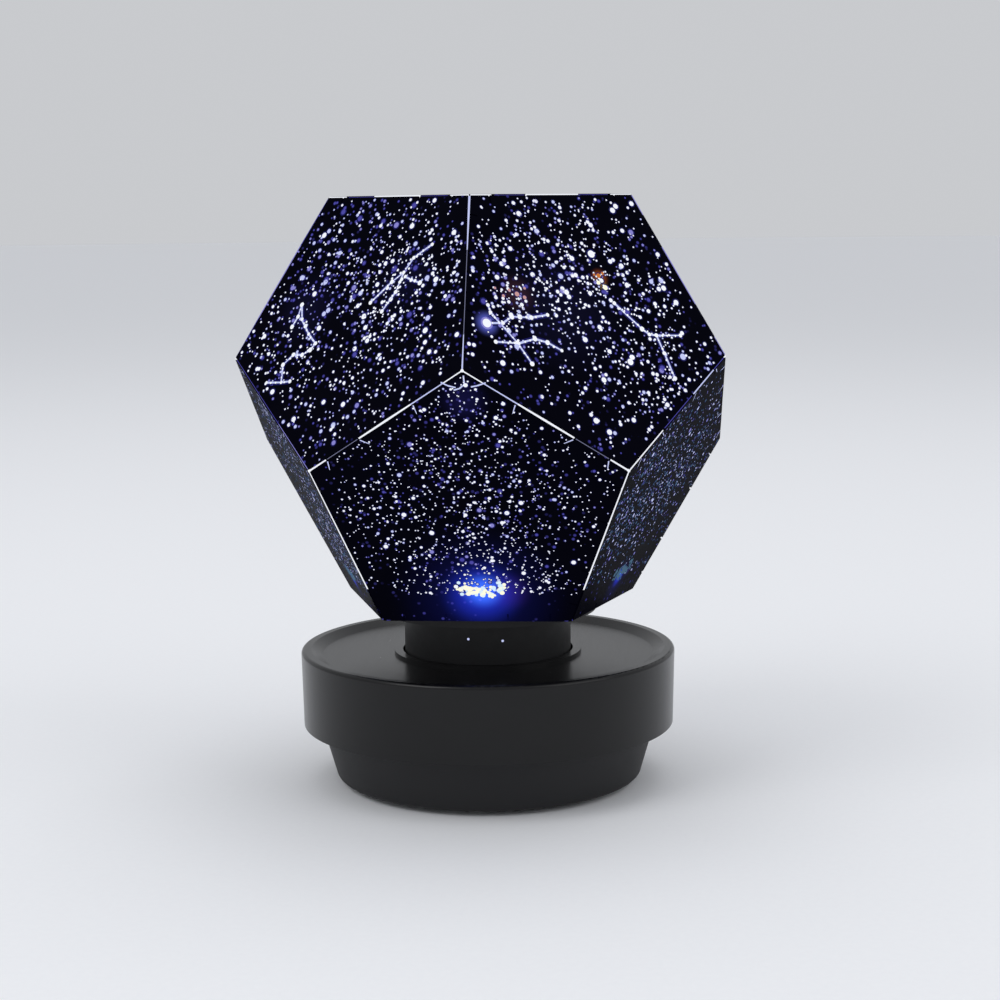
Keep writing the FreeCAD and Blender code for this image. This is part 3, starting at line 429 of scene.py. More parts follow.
def keep_mesh(bm, name, finishes, body):
    """Ends a new piece: its mesh becomes an object that rides on a body."""
    mesh = bpy.data.meshes.new(name)
    bm.to_mesh(mesh)
    bm.free()
    for finish in finishes:
        mesh.materials.append(finish)
    piece = bpy.data.objects.new(name, mesh)
    bpy.context.scene.collection.objects.link(piece)
    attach(piece, body)
    return piece


# Tip paint: pale grey, worn in 0.3 mm patches where a finger rubs it
tip_paint, tree, shader, place = finish_named("acrylic_paint_tipped", IOR=1.49, Roughness=0.5)
wear = add_node(tree, "ShaderNodeTexNoise", {"Vector": place, "Scale": 1 / 0.0003, "Detail": 2})
colour = add_node(tree, "ShaderNodeMix", {
    "Factor": wear.outputs["Fac"], "A": linear("#D6D7DA"), "B": linear("#9A9BA0"),
}, data_type="RGBA")
tree.links.new(colour.outputs["Result"], shader.inputs["Base Color"])

pip_radius = 0.00045
pip_pitch = 0.0015
pip_flatness = 0.5
# The button's face is dished, and the pips follow it
dish_depth = 0.0002
dish_radius = 0.013
for count, (key, body) in enumerate((
    ("light_button", "light_key"), ("colour_button", "colour_key"), ("rotate_button", "rotate_key"),
), start=1):
    low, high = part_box(key)
    bm = bmesh.new()
    for k in range(count):
        aside = (k - (count - 1) / 2) * pip_pitch
        face_y = high.y - dish_depth + aside ** 2 / (2 * dish_radius)
        seat = Matrix.Translation(((low.x + high.x) / 2 + aside, face_y, (low.z + high.z) / 2))
        bmesh.ops.create_icosphere(
            bm, subdivisions=2, radius=pip_radius, matrix=seat @ Matrix.Diagonal((1, pip_flatness, 1, 1)),
        )
    for face in bm.faces:
        face.smooth = True
    keep_mesh(bm, "pips_" + key, [tip_paint], body)


# Turntable hub
# The neck and flange that carry the ball, with the clamp ring and rivets inside it.
# Moulded ABS, satin black, so the turning neck does not catch the light.
# Satin neck: fine circular wipe marks 1 mm apart, a breath of dust
neck_abs, tree, shader, place = finish_named("abs_satin_neck", IOR=1.53, Specular_IOR_Level=0.35)
breath = add_node(tree, "ShaderNodeTexNoise", {"Vector": place, "Scale": 1 / 0.008, "Detail": 4})
lines = add_node(tree, "ShaderNodeTexWave", {
    "Vector": place, "Scale": math.pi / 10 / 0.000987, "Distortion": 1.5, "Detail": 2,
}, wave_type="RINGS", rings_direction="Z")
colour = add_node(tree, "ShaderNodeMix", {
    "Factor": breath.outputs["Fac"], "A": linear("#08080A"), "B": linear("#101013"),
}, data_type="RGBA")
rough = add_node(tree, "ShaderNodeMapRange", {
    "Value": lines.outputs["Fac"], "To Min": 0.42, "To Max": 0.55,
})
tree.links.new(colour.outputs["Result"], shader.inputs["Base Color"])
tree.links.new(rough.outputs["Result"], shader.inputs["Roughness"])
dress(["turntable_hub", "ball_ring", "ball_rivets"], neck_abs)


# Star ball
# Twelve pentagons of stiff polyester film, folded on tabs and clipped into a dodecahedron.
# Opaque black ink is printed on the film and leaves pinholes that the lamp shines through.
MM = 0.001
edge = 0.056
golden = (1 + math.sqrt(5)) / 2
inradius = edge * golden ** 2 / (2 * math.sqrt(3 - golden))
face_reach = edge / (2 * math.sin(math.pi / 5))
ball_centre = Vector((0, 0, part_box("panel_top")[1].z - inradius))
face_rise = math.atan(0.5)


def face_place(azimuth, rise):
    """The frame of a pentagon: X to the right as seen from outside, Y uphill, Z outward."""
    outward = Vector((
        math.cos(azimuth) * math.cos(rise), math.sin(azimuth) * math.cos(rise), math.sin(rise),
    ))
    uphill = Vector((
        -math.cos(azimuth) * math.sin(rise), -math.sin(azimuth) * math.sin(rise), math.cos(rise),
    ))
    across = uphill.cross(outward)
    middle = ball_centre + outward * inradius
    return Matrix([list(row) for row in zip(across, uphill, outward, middle)] + [[0, 0, 0, 1]])


panels = {"panel_top": face_place(-math.pi / 2, math.pi / 2)}
for k in range(5):
    turn = 2 * math.pi * k / 5 - math.pi / 2
    panels["panel_upper_%d" % (k + 1)] = face_place(turn + math.pi / 5, face_rise)
    panels["panel_lower_%d" % (k + 1)] = face_place(turn, -face_rise)

# Polyester film, screen printed: near-black satin ink that waves a little between the tabs.
# Light from the pinholes of the far side shows through it as soft violet ghosts, and the lamp
# makes a blue glow low on each lower panel.
film, tree, shader, place = finish_named(
    "polyester_film_screen_printed", IOR=1.5, Specular_IOR_Level=0.004, Emission_Strength=1.0,
)
haze = add_node(tree, "ShaderNodeTexNoise", {"Vector": place, "Scale": 1 / 0.016, "Detail": 3})
drum = add_node(tree, "ShaderNodeTexNoise", {"Vector": place, "Scale": 1 / 0.022, "Detail": 1})
ink = add_node(tree, "ShaderNodeMix", {
    "Factor": haze.outputs["Fac"], "A": linear("#020204"), "B": linear("#06060B"),
}, data_type="RGBA")
rough = add_node(tree, "ShaderNodeMapRange", {
    "Value": haze.outputs["Fac"], "To Min": 0.4, "To Max": 0.52,
})
bump = add_node(tree, "ShaderNodeBump", {
    "Height": drum.outputs["Fac"], "Strength": 0.3, "Distance": 0.0006,
})
tree.links.new(ink.outputs["Result"], shader.inputs["Base Color"])
tree.links.new(rough.outputs["Result"], shader.inputs["Roughness"])
tree.links.new(bump.outputs["Normal"], shader.inputs["Normal"])

# Ghost dots about 0.9 mm across, on average 2.4 mm apart, thick in some clouds and absent in others
cell = add_node(tree, "ShaderNodeTexVoronoi", {"Vector": place, "Scale": 1 / 0.0024})
clouds = add_node(tree, "ShaderNodeTexNoise", {"Vector": place, "Scale": 1 / 0.011, "Detail": 2})
dots = add_node(tree, "ShaderNodeMapRange", {
    "Value": cell.outputs["Distance"], "From Min": 0.12, "From Max": 0.26, "To Min": 1, "To Max": 0,
}, interpolation_type="SMOOTHSTEP")
thick = add_node(tree, "ShaderNodeMapRange", {
    "Value": clouds.outputs["Fac"], "From Min": 0.46, "From Max": 0.66, "To Min": 0, "To Max": 1,
})
seen = add_node(tree, "ShaderNodeMath", {
    0: dots.outputs["Result"], 1: thick.outputs["Result"],
}, operation="MULTIPLY")
ghost = add_node(tree, "ShaderNodeMix", {
    "Factor": seen.outputs["Value"], "A": linear("#010106"), "B": linear("#3F3D92"),
}, data_type="RGBA")

# Soft glows in the film, brightest at a point: its panel, x, y, reach in millimetres and its tint.
# One upper panel has a glow round a bright star, painted amber and rose reflections of the lamp,
# and a haze; two other panels have hazes.
glows = [
    ("panel_upper_1", -33.5, -1.1, 4.8, "#5A62C8"), ("panel_upper_1", 8.2, 11.6, 3.6, "#8A4312"),
    ("panel_upper_1", 8.4, 9.2, 2.4, "#6B5A2A"), ("panel_upper_1", -21.2, 7.3, 7.5, "#2E1A20"),
    ("panel_upper_1", -8.0, 2.0, 26.0, "#07071A"), ("panel_upper_5", 14.0, 12.0, 14.0, "#07071C"),
    ("panel_upper_5", -22.0, 2.0, 15.0, "#08081E"), ("panel_lower_1", 0.0, 38.0, 9.0, "#0E0D33"),
]
# Low on each lower panel the lamp glows blue with a violet side; it reaches less far on the side panels
lamp_glows = (
    (2.2, -27.2, 8.0, "#3A6EDC"), (9.5, -27.5, 9.0, "#1E0E4C"),
    (1.8, -28.4, 14.5, "#1B2BB4"), (1.8, -29.5, 30.0, "#070A38"),
)
for k, share in enumerate((1.0, 0.35, 1.0, 1.0, 0.35)):
    glows += [("panel_lower_%d" % (k + 1), x, y, share * reach, tint) for x, y, reach, tint in lamp_glows]
lit = ghost.outputs["Result"]
for name, x, y, reach, tint in glows:
    spot = panels[name] @ Vector((x * MM, y * MM, 0))
    away = add_node(tree, "ShaderNodeVectorMath", {0: place, 1: spot}, operation="DISTANCE")
    fade = add_node(tree, "ShaderNodeMapRange", {
        "Value": away.outputs["Value"], "From Min": 0, "From Max": reach * MM, "To Min": 1, "To Max": 0,
    }, interpolation_type="SMOOTHERSTEP")
    lit = add_node(tree, "ShaderNodeMix", {
        "Factor": fade.outputs["Result"], "A": lit, "B": linear(tint),
    }, data_type="RGBA", blend_type="ADD").outputs["Result"]
tree.links.new(lit, shader.inputs["Emission Color"])
dress(list(panels) + ["panel_bottom"], film)


# Pinholes
# The stars of the ball: 1350 or more pinholes in the ink of each panel, in clumps.
# Each shows as a tiny bead of light in a wider ring of painted violet glow.
def light_named(name, hex_colour):
    """Lit film of one brightness; it is too faint to light anything, so it is not sampled as a lamp."""
    material, _, shader, _ = finish_named(
        name, Roughness=0.5, Specular_IOR_Level=0.004, Emission_Strength=1.0,
    )
    shader.inputs["Base Color"].default_value = linear("#020204")
    shader.inputs["Emission Color"].default_value = linear(hex_colour)
    material.cycles.emission_sampling = "NONE"
    return material


# Clear film over the lamp: from full blue-white through lavender to the violet of scattered light,
# with the lamp's own yellow-white, the amber and rose of the painted reflections of the lamp
# and the tint of the side panels
shades = [
    light_named("film_light_white", "#F4F7FF"),
    light_named("film_light_pale", "#C4CBF6"),
    light_named("film_light_lavender", "#8784CE"),
    light_named("film_light_violet", "#4C49A2"),
    light_named("film_light_rim", "#1A1B58"),
    light_named("film_light_teal", "#426078"),
    light_named("film_light_lamp", "#FFFDE2"),
    light_named("film_light_amber", "#C8752C"),
    light_named("film_light_rose", "#C89898"),
    light_named("film_light_ice", "#D6EEFF"),
    light_named("film_light_thin", "#70728E"),
]
WHITE, PALE, LAVENDER, VIOLET, RIM, TEAL, LAMP, AMBER, ROSE, ICE, THIN = range(len(shades))
bead_lift = 0.03 * MM
rim_lift = 0.015 * MM
bead_root = 0.04 * MM
bead_taper = 0.75
rim_share = 1.5


def bead(place, x, y, radius, shade, lift=bead_lift, sides=8):
    """One pinhole, as a flat closed bead on the film; x, y and radius are in millimetres."""
    spot = place @ Matrix.Translation((x * MM, y * MM, (lift - bead_root) / 2))
    spot = spot @ Matrix.Rotation(x + y, 4, "Z")
    return spot, radius * MM, bead_taper * radius * MM, lift + bead_root, sides, shade


def stroke(place, start, end, radii, shade, lift=bead_lift):
    """One straight stroke of light on the film, flattened into it; points and radii in millimetres."""
    (x0, y0), (x1, y1) = start, end
    spot = place @ Matrix.Translation(((x0 + x1) / 2 * MM, (y0 + y1) / 2 * MM, 0))
    along = Matrix.Rotation(math.atan2(y1 - y0, x1 - x0), 4, "Z")
    flat = Matrix.Diagonal((1, 1, lift / (max(radii) * MM), 1))
    return (
        spot @ along @ flat @ Matrix.Rotation(math.pi / 2, 4, "Y"),
        radii[0] * MM, radii[1] * MM, math.hypot(x1 - x0, y1 - y0) * MM, 8, shade,
    )


def lay(bm, shapes, batch=40):
    """Adds closed beads and rods a few dozen at a time, since a small mesh takes them fastest."""
    scratch = bpy.data.meshes.new("scratch")
    for first in range(0, len(shapes), batch):
        few = bmesh.new()
        for spot, base, top, depth, sides, shade in shapes[first:first + batch]:
            made = bmesh.ops.create_cone(
                few, cap_ends=True, segments=sides, radius1=base, radius2=top, depth=depth, matrix=spot,
            )
            for face in {f for v in made["verts"] for f in v.link_faces}:
                face.material_index = shade
        few.to_mesh(scratch)
        few.free()
        bm.from_mesh(scratch)
    bpy.data.meshes.remove(scratch)


def inside_panel(x, y, tip_angle, margin):
    """Whether a point is on the pentagon, with its tip at the angle given, in from the edges."""
    limit = face_reach / MM * math.cos(math.pi / 5) - margin
    for k in range(5):
        angle = tip_angle + math.pi / 5 + 2 * math.pi * k / 5
        if x * math.cos(angle) + y * math.sin(angle) > limit:
            return False
    return True


# Where the stars crowd on the panels that face the viewer: x, y, spread in millimetres and weight
crowds = {
    "panel_upper_5": [
        (16, 4, 10, 1.3), (3, 13, 8, 0.8), (-24, -8, 9, 1.1), (6, -20, 12, 0.8), (27, 18, 8, 0.9),
        (-4, 28, 14, 0.7), (-20, 14, 9, 0.9),
    ],
    "panel_upper_1": [
        (-22, 3, 9, 1.9), (-12, 11, 9, 1.5), (8, 14, 8, 1.6), (5, -8, 10, 1.0), (18, -24, 9, 1.9),
        (-28, 20, 7, 0.8), (0, 30, 12, 1.0), (30, 6, 8, 0.9),
    ],
    "panel_lower_1": [
        (0, 31, 8, 2.2), (-12, 12, 10, 1.3), (12, 14, 9, 1.2), (-24, 3, 8, 1.2), (5, -9, 10, 1.2),
        (2, -21, 9, 2.0), (16, -18, 8, 1.0), (25, 6, 8, 1.0), (-14, -16, 8, 1.0),
    ],
}
star_count = 1350
fine_count = 1500
# Radii in millimetres, each with the chance up to which it is taken
star_sizes = ((0.55, 0.33), (0.83, 0.48), (0.965, 0.68), (1, 1.0))
fine_sizes = ((0.62, 0.25), (0.88, 0.36), (0.98, 0.54), (1, 0.8))
even_share = 0.65
full_crowd = 2.2
thick_crowd = 1.3
panel_span = 46
edge_margin = 1.3
star_step = 1.0
lamp_floor = -28.5
lamp_lobes = ((-2.2, -26.6), (6.8, -26.6), (2.4, -28.0))
lamp_dots = 66
lamp_spread = (1.5, 1.1)
for number, (name, place) in enumerate(sorted(panels.items())):
    dice = random.Random(number + 11)
    lower = name.startswith("panel_lower")
    side_panel = name in ("panel_lower_2", "panel_lower_5")
    tip_angle = math.pi / 2 if lower else -math.pi / 2
    sizes = fine_sizes if lower else star_sizes
    clumps = crowds.get(name) or [
        (dice.uniform(-28, 28), dice.uniform(-24, 28), dice.uniform(6, 12), dice.uniform(0.8, 1.9))
        for _ in range(8)
    ]
    taken = {}
    dots = []
    placed = 0
    while placed < (fine_count if lower else star_count):
        x, y = dice.uniform(-panel_span, panel_span), dice.uniform(-panel_span, panel_span)
        crowd = even_share + sum(
            weight * math.exp(-((x - a) ** 2 + (y - b) ** 2) / (2 * spread * spread))
            for a, b, spread, weight in clumps
        )
        sparse = dice.random() * full_crowd > crowd
        if sparse or (lower and y < lamp_floor) or not inside_panel(x, y, tip_angle, edge_margin):
            continue
        chance = dice.random()
        radius = next(size for limit, size in sizes if chance < limit) * dice.uniform(0.85, 1.15)
        # Each square millimetre takes one star, or two where they crowd
        key = (round(x / star_step), round(y / star_step))
        if taken.get(key, 0) > (1 if crowd > thick_crowd else 0):
            continue
        taken[key] = taken.get(key, 0) + 1
        # The side panels are seen aslant, so their light is dim and teal; one upper panel has a dim part
        faint = 0.75 if name == "panel_upper_5" and x < 0 and y > -5 else 0.4
        mood = dice.random()
        if side_panel:
            shade = TEAL if mood < 0.55 else LAVENDER if mood < 0.7 else PALE
        elif mood > faint:
            shade = WHITE
        else:
            shade = PALE if mood > 0.6 * faint else LAVENDER if mood > 0.3 * faint else VIOLET
        # Under each pinhole, a wider bead of painted violet glow
        dots.append(bead(place, x, y, radius * rim_share, RIM, lift=rim_lift, sides=7))
        dots.append(bead(place, x, y, radius, shade, sides=8 if radius > 0.5 else 6))
        placed += 1
    if lower:
        # The lamp itself shows low on the panel as yellow-white pinholes that run together
        for k in range(lamp_dots):
            x = lamp_lobes[k % 3][0] + dice.gauss(0, lamp_spread[0])
            y = lamp_lobes[k % 3][1] + dice.gauss(0, lamp_spread[1])
            shade = LAMP if dice.random() < 0.75 else ICE
            shade = TEAL if side_panel else shade
            dots.append(bead(place, x, y, dice.uniform(0.4, 1.0), shade, lift=1.4 * bead_lift))
    bm = bmesh.new()
    lay(bm, dots)
    keep_mesh(bm, name.replace("panel", "stars"), shades, "turntable")


# Constellations
# Figures of joined stars, cut clear through the ink so that they shine brightest.
# Each line is a stroke of open film with a larger pinhole at every star.
figures = {
    "panel_upper_5": [
        [(19.9, 22.9), (14.5, 18.7), (12.4, 14.1), (12.1, 11.1), (11.7, 8.0), (8.7, 1.9)],
        [(12.4, 14.1), (9.0, 11.1), (3.2, 4.5)],
        [(13.5, 12.8), (16.2, 11.8), (19.8, 11.0)],
        [(-24.2, 3.2), (-24.2, -0.6), (-25.3, -3.9)],
        [(-24.2, 3.2), (-22.2, -1.4), (-17.5, -6.0), (-13.5, -8.8), (-14.8, -10.9), (-17.4, -12.6),
         (-21.0, -12.7), (-23.9, -16.0), (-22.3, -21.5)],
        [(-28.3, -21.9), (-22.3, -21.5), (-18.9, -21.0)],
    ],
    "panel_upper_1": [
        [(-33.5, -1.1), (-28.3, -1.3), (-24.9, 0.5), (-18.6, 0.0), (-13.0, 0.6)],
        [(-31.6, 4.3), (-31.4, 2.1), (-25.4, -7.3), (-22.4, -13.9)],
        [(-32.2, -6.8), (-24.9, -7.6), (-19.3, -6.5), (-15.5, -7.8), (-11.5, -10.4)],
        [(10.8, 3.4), (17.9, -5.0), (19.9, -6.8), (22.3, -7.2), (23.3, -12.9), (24.5, -20.8)],
        [(22.3, -7.2), (30.8, -7.6)],
    ],
    "panel_upper_2": [
        [(-22, 16), (-14, 20), (-6, 16), (1, 10), (5, 0), (16, -4), (20, 8), (1, 10)],
        [(-26, -6), (-19, -14), (-10, -10), (-4, -20), (6, -16)],
    ],
    "panel_upper_3": [
        [(-12, 22), (-6, 6), (-2, 3), (2, 0), (10, -16)],
        [(8, 20), (2, 0)],
        [(-6, 6), (-12, -14)],
        [(-12, 22), (8, 20)],
        [(-12, -14), (10, -16)],
    ],
    "panel_upper_4": [
        [(-18, 14), (-8, 4), (2, -4), (12, -12)],
        [(-12, -8), (-8, 4), (0, 16), (10, 22)],
        [(18, 14), (26, 6), (22, -6), (28, -12)],
    ],
    "panel_lower_3": [[(-14, 10), (-7, 4), (0, 9), (7, 3), (14, 8)], [(-18, -10), (-8, -14), (4, -12)]],
    "panel_lower_4": [[(-4, 20), (0, 12), (8, 8), (4, 0), (-4, 4), (0, 12)], [(12, -8), (18, -14)]],
    "panel_top": [
        [(-20, 6), (-10, 12), (0, 8), (6, 16), (18, 12), (24, 2)],
        [(-8, -16), (2, -10), (12, -18), (4, -26), (-8, -16)],
    ],
}
line_radius = 0.36
glow_share = 2.1
star_pitch = 1.6
wander = 0.12
for number, (name, runs) in enumerate(sorted(figures.items())):
    dice = random.Random(number + 71)
    place = panels[name]
    shapes = []
    for run in runs:
        for start, end in zip(run, run[1:]):
            thick = dice.uniform(0.85, 1.2) * line_radius
            glow = glow_share * thick
            shapes.append(stroke(place, start, end, (glow, glow), RIM, 0.5 * bead_lift))
            shapes.append(stroke(place, start, end, (thick, 0.8 * thick), PALE, 1.2 * bead_lift))
            steps = max(2, int(math.hypot(end[0] - start[0], end[1] - start[1]) / star_pitch))
            for step in range(1, steps):
                share = (step + dice.uniform(-0.3, 0.3)) / steps
                x = start[0] + share * (end[0] - start[0]) + dice.gauss(0, wander)
                y = start[1] + share * (end[1] - start[1]) + dice.gauss(0, wander)
                shapes.append(bead(place, x, y, dice.uniform(0.25, 0.5), WHITE, lift=1.5 * bead_lift))
    for x, y in sorted({point for run in runs for point in run}):
        shapes.append(bead(place, x, y, dice.uniform(0.6, 0.95), WHITE, lift=1.6 * bead_lift, sides=12))
    bm = bmesh.new()
    lay(bm, shapes)
    keep_mesh(bm, name.replace("panel", "figures"), shades, "turntable")

# Single large stars, and the painted amber and rose reflections of the lamp on one upper panel:
# x, y, radius in millimetres and shade
large = {
    "panel_upper_1": [
        (-33.5, -1.1, 1.6, WHITE), (7.6, 19.1, 1.4, WHITE), (10.6, -15.0, 1.2, WHITE),
        (29.5, -14.3, 1.2, PALE), (-31.8, -13.2, 1.0, WHITE), (8.0, 12.2, 0.9, AMBER),
        (9.6, 12.9, 0.6, AMBER), (6.6, 12.6, 0.5, AMBER), (7.3, 10.0, 0.8, LAMP),
        (9.2, 8.4, 1.0, LAMP), (-21.2, 7.3, 0.9, ROSE), (-23.4, 8.6, 0.6, ROSE),
        (-19.0, 6.2, 0.7, ROSE), (-25.8, 6.9, 0.6, ROSE), (-18.2, 9.0, 0.5, ROSE),
        (-27.9, 9.4, 0.5, ROSE),
    ],
    "panel_upper_5": [(-14.1, -4.0, 1.0, WHITE), (22.0, 12.5, 1.0, PALE), (-30.5, 8.5, 0.9, LAVENDER)],
    "panel_lower_1": [(-11.5, -6.5, 0.85, WHITE), (14.5, 4.0, 0.8, WHITE), (-19.5, 13.5, 0.75, PALE)],
}
halo_share = 1.4
bright_radius = 1.5
for name, dots in sorted(large.items()):
    place = panels[name]
    halos = []
    stars = []
    for x, y, radius, shade in dots:
        rim = LAVENDER if radius > bright_radius else RIM
        halos.append(bead(place, x, y, halo_share * radius, rim, lift=0.8 * bead_lift, sides=16))
        stars.append(bead(place, x, y, radius, shade, lift=1.7 * bead_lift, sides=16))
    bm = bmesh.new()
    lay(bm, halos + stars)
    keep_mesh(bm, name.replace("panel", "large_dots"), shades, "turntable")


# Seams
# The lamp shines out between the folded edges of the panels, except where a tab covers the gap.
# Each seam is a row of slim rods of light, just inside the line where two panels would meet.
def ring_point(radius, azimuth, height):
    """A corner of the ball, from its distance from the axis, its direction and its height."""
    return ball_centre + Vector((radius * math.cos(azimuth), radius * math.sin(azimuth), height))


wide_radius = face_reach * golden
wide_height = math.sqrt((edge * golden * math.sqrt(3) / 2) ** 2 - wide_radius ** 2)
fifth = 2 * math.pi / 5
crown = [ring_point(face_reach, k * fifth - math.pi / 2, inradius) for k in range(5)]
shoulder = [ring_point(wide_radius, k * fifth - math.pi / 2, wide_height) for k in range(5)]
waist = [ring_point(wide_radius, (k + 0.5) * fifth - math.pi / 2, -wide_height) for k in range(5)]
foot = [ring_point(face_reach, (k + 0.5) * fifth - math.pi / 2, -inradius) for k in range(5)]
seam_sink = 0.4 * MM


def seam(corner, end, spans):
    """Rods of light along an edge; a span is its two shares of the edge, two radii in mm and its shade."""
    inward = (ball_centre - (corner + end) / 2).normalized() * seam_sink
    rods = []
    for low, high, r0, r1, shade in spans:
        a, b = corner.lerp(end, low) + inward, corner.lerp(end, high) + inward
        turn = (b - a).to_track_quat("Z", "Y").to_matrix().to_4x4()
        rods.append((Matrix.Translation((a + b) / 2) @ turn, r0 * MM, r1 * MM, (b - a).length, 10, shade))
    return rods


crown_spans = [
    (0.01, 0.13, 0.28, 0.26, WHITE), (0.15, 0.33, 0.1, 0.1, VIOLET), (0.34, 0.66, 0.32, 0.32, WHITE),
    (0.67, 0.85, 0.1, 0.1, VIOLET), (0.87, 0.99, 0.26, 0.28, WHITE),
]
upper_spans = [
    (0.01, 0.13, 0.34, 0.28, LAVENDER), (0.14, 0.32, 0.1, 0.1, VIOLET), (0.33, 0.68, 0.36, 0.32, LAVENDER),
    (0.69, 0.87, 0.1, 0.1, VIOLET), (0.88, 0.99, 0.24, 0.28, LAVENDER),
]
front_spans = [
    (0.01, 0.14, 0.3, 0.28, PALE), (0.14, 0.32, 0.26, 0.14, PALE), (0.32, 0.8, 0.1, 0.1, THIN),
    (0.8, 0.99, 0.12, 0.22, PALE),
]
left_spans = [
    (0.01, 0.3, 0.24, 0.36, VIOLET), (0.3, 0.75, 0.38, 0.38, LAVENDER), (0.75, 0.99, 0.34, 0.18, VIOLET),
]
zigzag_spans = [
    (0.01, 0.12, 0.17, 0.15, WHITE), (0.12, 0.33, 0.14, 0.18, PALE), (0.33, 0.5, 0.2, 0.3, WHITE),
    (0.5, 0.665, 0.29, 0.22, WHITE), (0.675, 0.875, 0.1, 0.1, THIN), (0.885, 0.99, 0.2, 0.24, WHITE),
]
side_spans = [
    (0.02, 0.12, 0.1, 0.1, VIOLET), (0.13, 0.34, 0.2, 0.24, PALE), (0.36, 0.64, 0.1, 0.1, VIOLET),
    (0.66, 0.99, 0.2, 0.24, WHITE),
]
faint_spans = [(0.02, 0.6, 0.1, 0.1, VIOLET), (0.6, 0.98, 0.12, 0.14, LAVENDER)]
lower_spans = [(0.01, 0.4, 0.2, 0.27, WHITE), (0.4, 0.78, 0.28, 0.3, WHITE)]
foot_spans = [(0.02, 0.04, 0.2, 0.15, VIOLET), (0.96, 0.98, 0.15, 0.2, VIOLET)]

# Round the ball from the front: the seam above each shoulder, then those down to its right and left
fifths = [
    (front_spans, zigzag_spans, zigzag_spans), (upper_spans, zigzag_spans, side_spans),
    (upper_spans, zigzag_spans, zigzag_spans), (upper_spans, zigzag_spans, zigzag_spans),
    (left_spans, faint_spans, zigzag_spans),
]
rods = []
for k, (above, right, left) in enumerate(fifths):
    rods += seam(crown[k], crown[(k + 1) % 5], crown_spans)
    rods += seam(crown[k], shoulder[k], above)
    rods += seam(shoulder[k], waist[k], right)
    rods += seam(shoulder[k], waist[k - 1], left)
    rods += seam(waist[k], foot[k], lower_spans)
    rods += seam(foot[k], foot[(k + 1) % 5], foot_spans)

# Where three panels meet, the small gap between their corners is a dot of light
dot_sink = 0.6 * MM
dot_radius = 0.45 * MM
dot_depth = 0.5 * MM
for corner in shoulder + waist:
    inward = (ball_centre - corner).normalized()
    turn = inward.to_track_quat("Z", "Y").to_matrix().to_4x4()
    spot = Matrix.Translation(corner + inward * dot_sink) @ turn
    rods.append((spot, dot_radius, dot_radius, dot_depth, 12, WHITE))

# The tabs' slanted ends show as short ticks on the lower panels, across the seams above them:
# the share of the edge at each end of a tab, and the way that the end leans. The front panel has
# bent strokes, below, in place of the first.
tick_ends = ((0.105, -0.55), (0.32, 0.35), (0.665, -0.55), (0.88, 0.55))
tick_length = 2.9
tick_gap = 0.7
tick_radii = (0.18, 0.1)
tip = Vector((0, face_reach / MM))
for k in range(5):
    place = panels["panel_lower_%d" % (k + 1)]
    for side in (-1, 1):
        angle = math.pi / 2 + side * fifth
        far = Vector((tip.y * math.cos(angle), tip.y * math.sin(angle)))
        along = (far - tip).normalized()
        inward = -(tip + far).normalized()
        for share, lean in tick_ends[1 if k == 0 else 0:]:
            root = tip.lerp(far, share) + tick_gap * inward
            end = root + tick_length * (inward + lean * along).normalized()
            rods.append(stroke(place, root, end, tick_radii, PALE))

# Light creeps out from under the tabs' ends in short bent strokes beside the front panel's top corner
for run in (
    [(-6.0, 43.9), (-4.1, 42.8), (-2.0, 42.2)], [(2.2, 42.4), (4.0, 42.8), (6.3, 43.7)],
    [(-2.6, 41.4), (-1.0, 41.9), (0.4, 43.2), (0.3, 46.0)],
):
    for start, end in zip(run, run[1:]):
        rods.append(stroke(panels["panel_lower_1"], start, end, (0.24, 0.2), PALE))

# Two painted glints on the neck's front, a little below the ball, as pale beads of light
neck_radius = 26.0
glint_radius = 0.45
glint_lift = 0.05 * MM
for x, z in ((-3.84, 49.0), (6.51, 48.4)):
    azimuth = math.atan2(-math.sqrt(neck_radius ** 2 - x ** 2), x)
    outward = Vector((math.cos(azimuth), math.sin(azimuth), 0))
    across = Vector((-outward.y, outward.x, 0))
    middle = outward * neck_radius * MM + Vector((0, 0, z * MM))
    rows = zip(across, Vector((0, 0, 1)), outward, middle)
    place = Matrix([list(row) for row in rows] + [[0, 0, 0, 1]])
    rods.append(bead(place, 0, 0, glint_radius, PALE, lift=glint_lift))
bm = bmesh.new()
lay(bm, rods)
for face in bm.faces:
    face.smooth = len(face.verts) == 4
keep_mesh(bm, "seam_light_and_neck_glints", shades, "turntable")


# Stage
# A pale table top that runs into a pale background, with soft lamps at a plain level.
table, tree, shader, place = finish_named("pale_table_paper", Roughness=0.9)
tooth = add_node(tree, "ShaderNodeTexNoise", {"Vector": place, "Scale": 1 / 0.002, "Detail": 3})
colour = add_node(tree, "ShaderNodeMix", {
    "Factor": tooth.outputs["Fac"], "A": linear("#EDEEF1"), "B": linear("#F1F2F4"),
}, data_type="RGBA")
tree.links.new(colour.outputs["Result"], shader.inputs["Base Color"])
table_radius = 14.0
bm = bmesh.new()
below_feet = Matrix.Translation((0, 0, -0.0001))
bmesh.ops.create_circle(bm, cap_ends=True, segments=96, radius=table_radius, matrix=below_feet)
mesh = bpy.data.meshes.new("table_top")
bm.to_mesh(mesh)
bm.free()
mesh.materials.append(table)
floor = bpy.data.objects.new("table_top", mesh)
bpy.context.scene.collection.objects.link(floor)
floor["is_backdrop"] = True

# The room as the camera and a mirror see it is a little dimmer than the light that it gives, so
# that it meets the table's far edge without a line
world = bpy.data.worlds.new("pale_room")
bpy.context.scene.world = world
world.use_nodes = True
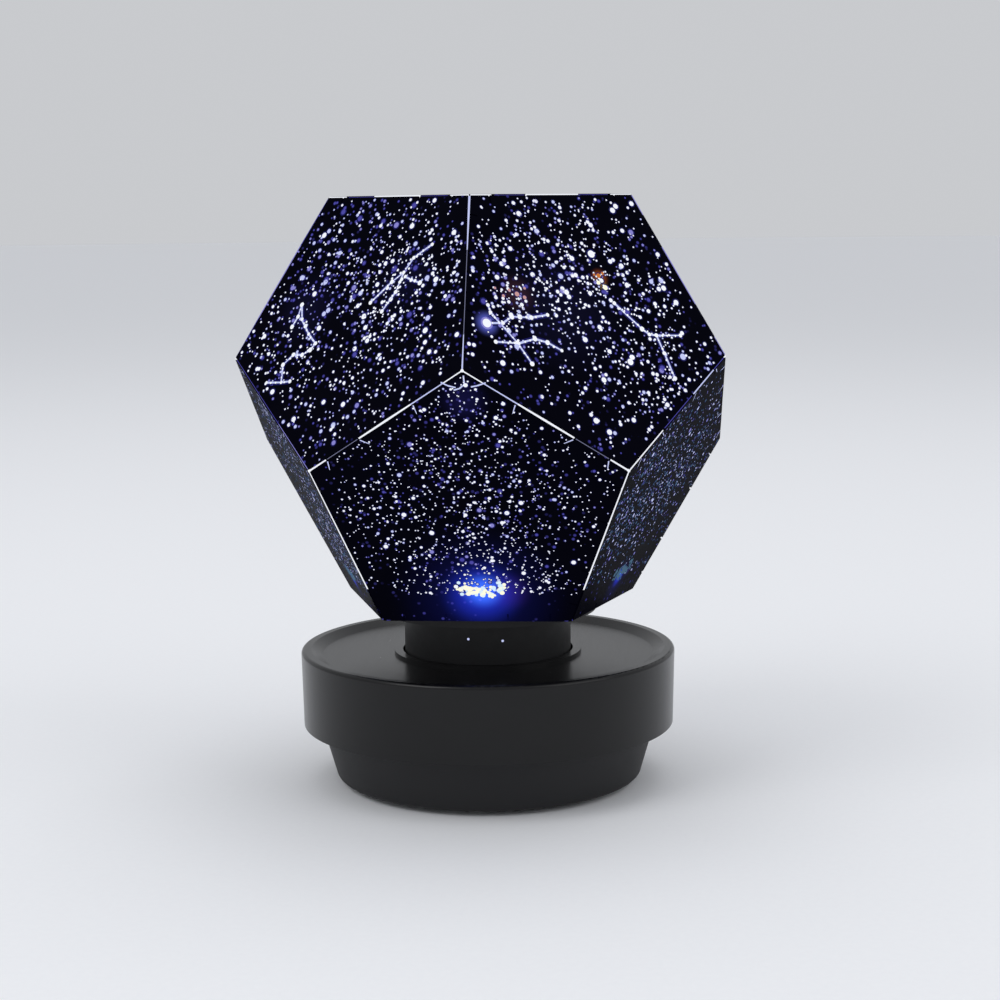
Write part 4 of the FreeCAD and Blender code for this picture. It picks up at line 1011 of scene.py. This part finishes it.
sky = world.node_tree
back = sky.nodes["Background"]
path = add_node(sky, "ShaderNodeLightPath", {})
shown = add_node(sky, "ShaderNodeMath", {
    0: path.outputs["Is Camera Ray"], 1: path.outputs["Is Transmission Ray"],
}, operation="MAXIMUM")
mirrored = add_node(sky, "ShaderNodeMath", {
    0: shown.outputs["Value"], 1: path.outputs["Is Glossy Ray"],
}, operation="MAXIMUM")
level = add_node(sky, "ShaderNodeMapRange", {
    "Value": mirrored.outputs["Value"], "To Min": 0.75, "To Max": 0.655,
})
back.inputs["Color"].default_value = linear("#F2F4F8")
sky.links.new(level.outputs["Result"], back.inputs["Strength"])

aim = Vector((0, 0, 0.09))
for label, spot, power, width in (
    ("key_softbox", (-0.9, -0.9, 1.3), 6, 0.9),
    ("fill_softbox", (1.2, -0.6, 0.9), 3, 1.1),
    ("top_softbox", (0.1, 0.5, 1.6), 4, 1.2),
):
    lamp = bpy.data.lights.new(label, "AREA")
    lamp.energy = power
    lamp.size = width
    lamp.color = linear("#FFFFFF")[:3]
    holder = bpy.data.objects.new(label, lamp)
    holder.location = spot
    holder.rotation_euler = (aim - Vector(spot)).to_track_quat("-Z", "Y").to_euler()
    bpy.context.scene.collection.objects.link(holder)

# The photograph's camera: 0.63 m from the axis, 56 mm above the ball's centre
distance = 0.6328
eye_rise = 0.05645
swing = 0.0813
pan = 0.0067
pitch = 0.1382
roll = -0.01
camera = bpy.data.cameras.new("camera")
camera.sensor_width = 36
camera.lens = 73.8
viewpoint = bpy.data.objects.new("camera", camera)
spot = Vector((distance * math.sin(swing), -distance * math.cos(swing), ball_centre.z + eye_rise))
viewpoint.matrix_world = (
    Matrix.Translation(spot) @ Matrix.Rotation(swing - pan, 4, "Z")
    @ Matrix.Rotation(math.pi / 2 - pitch, 4, "X") @ Matrix.Rotation(roll, 4, "Z")
)
bpy.context.scene.collection.objects.link(viewpoint)
bpy.context.scene.camera = viewpoint
bpy.context.scene.view_settings.view_transform = "Standard"

low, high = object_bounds()
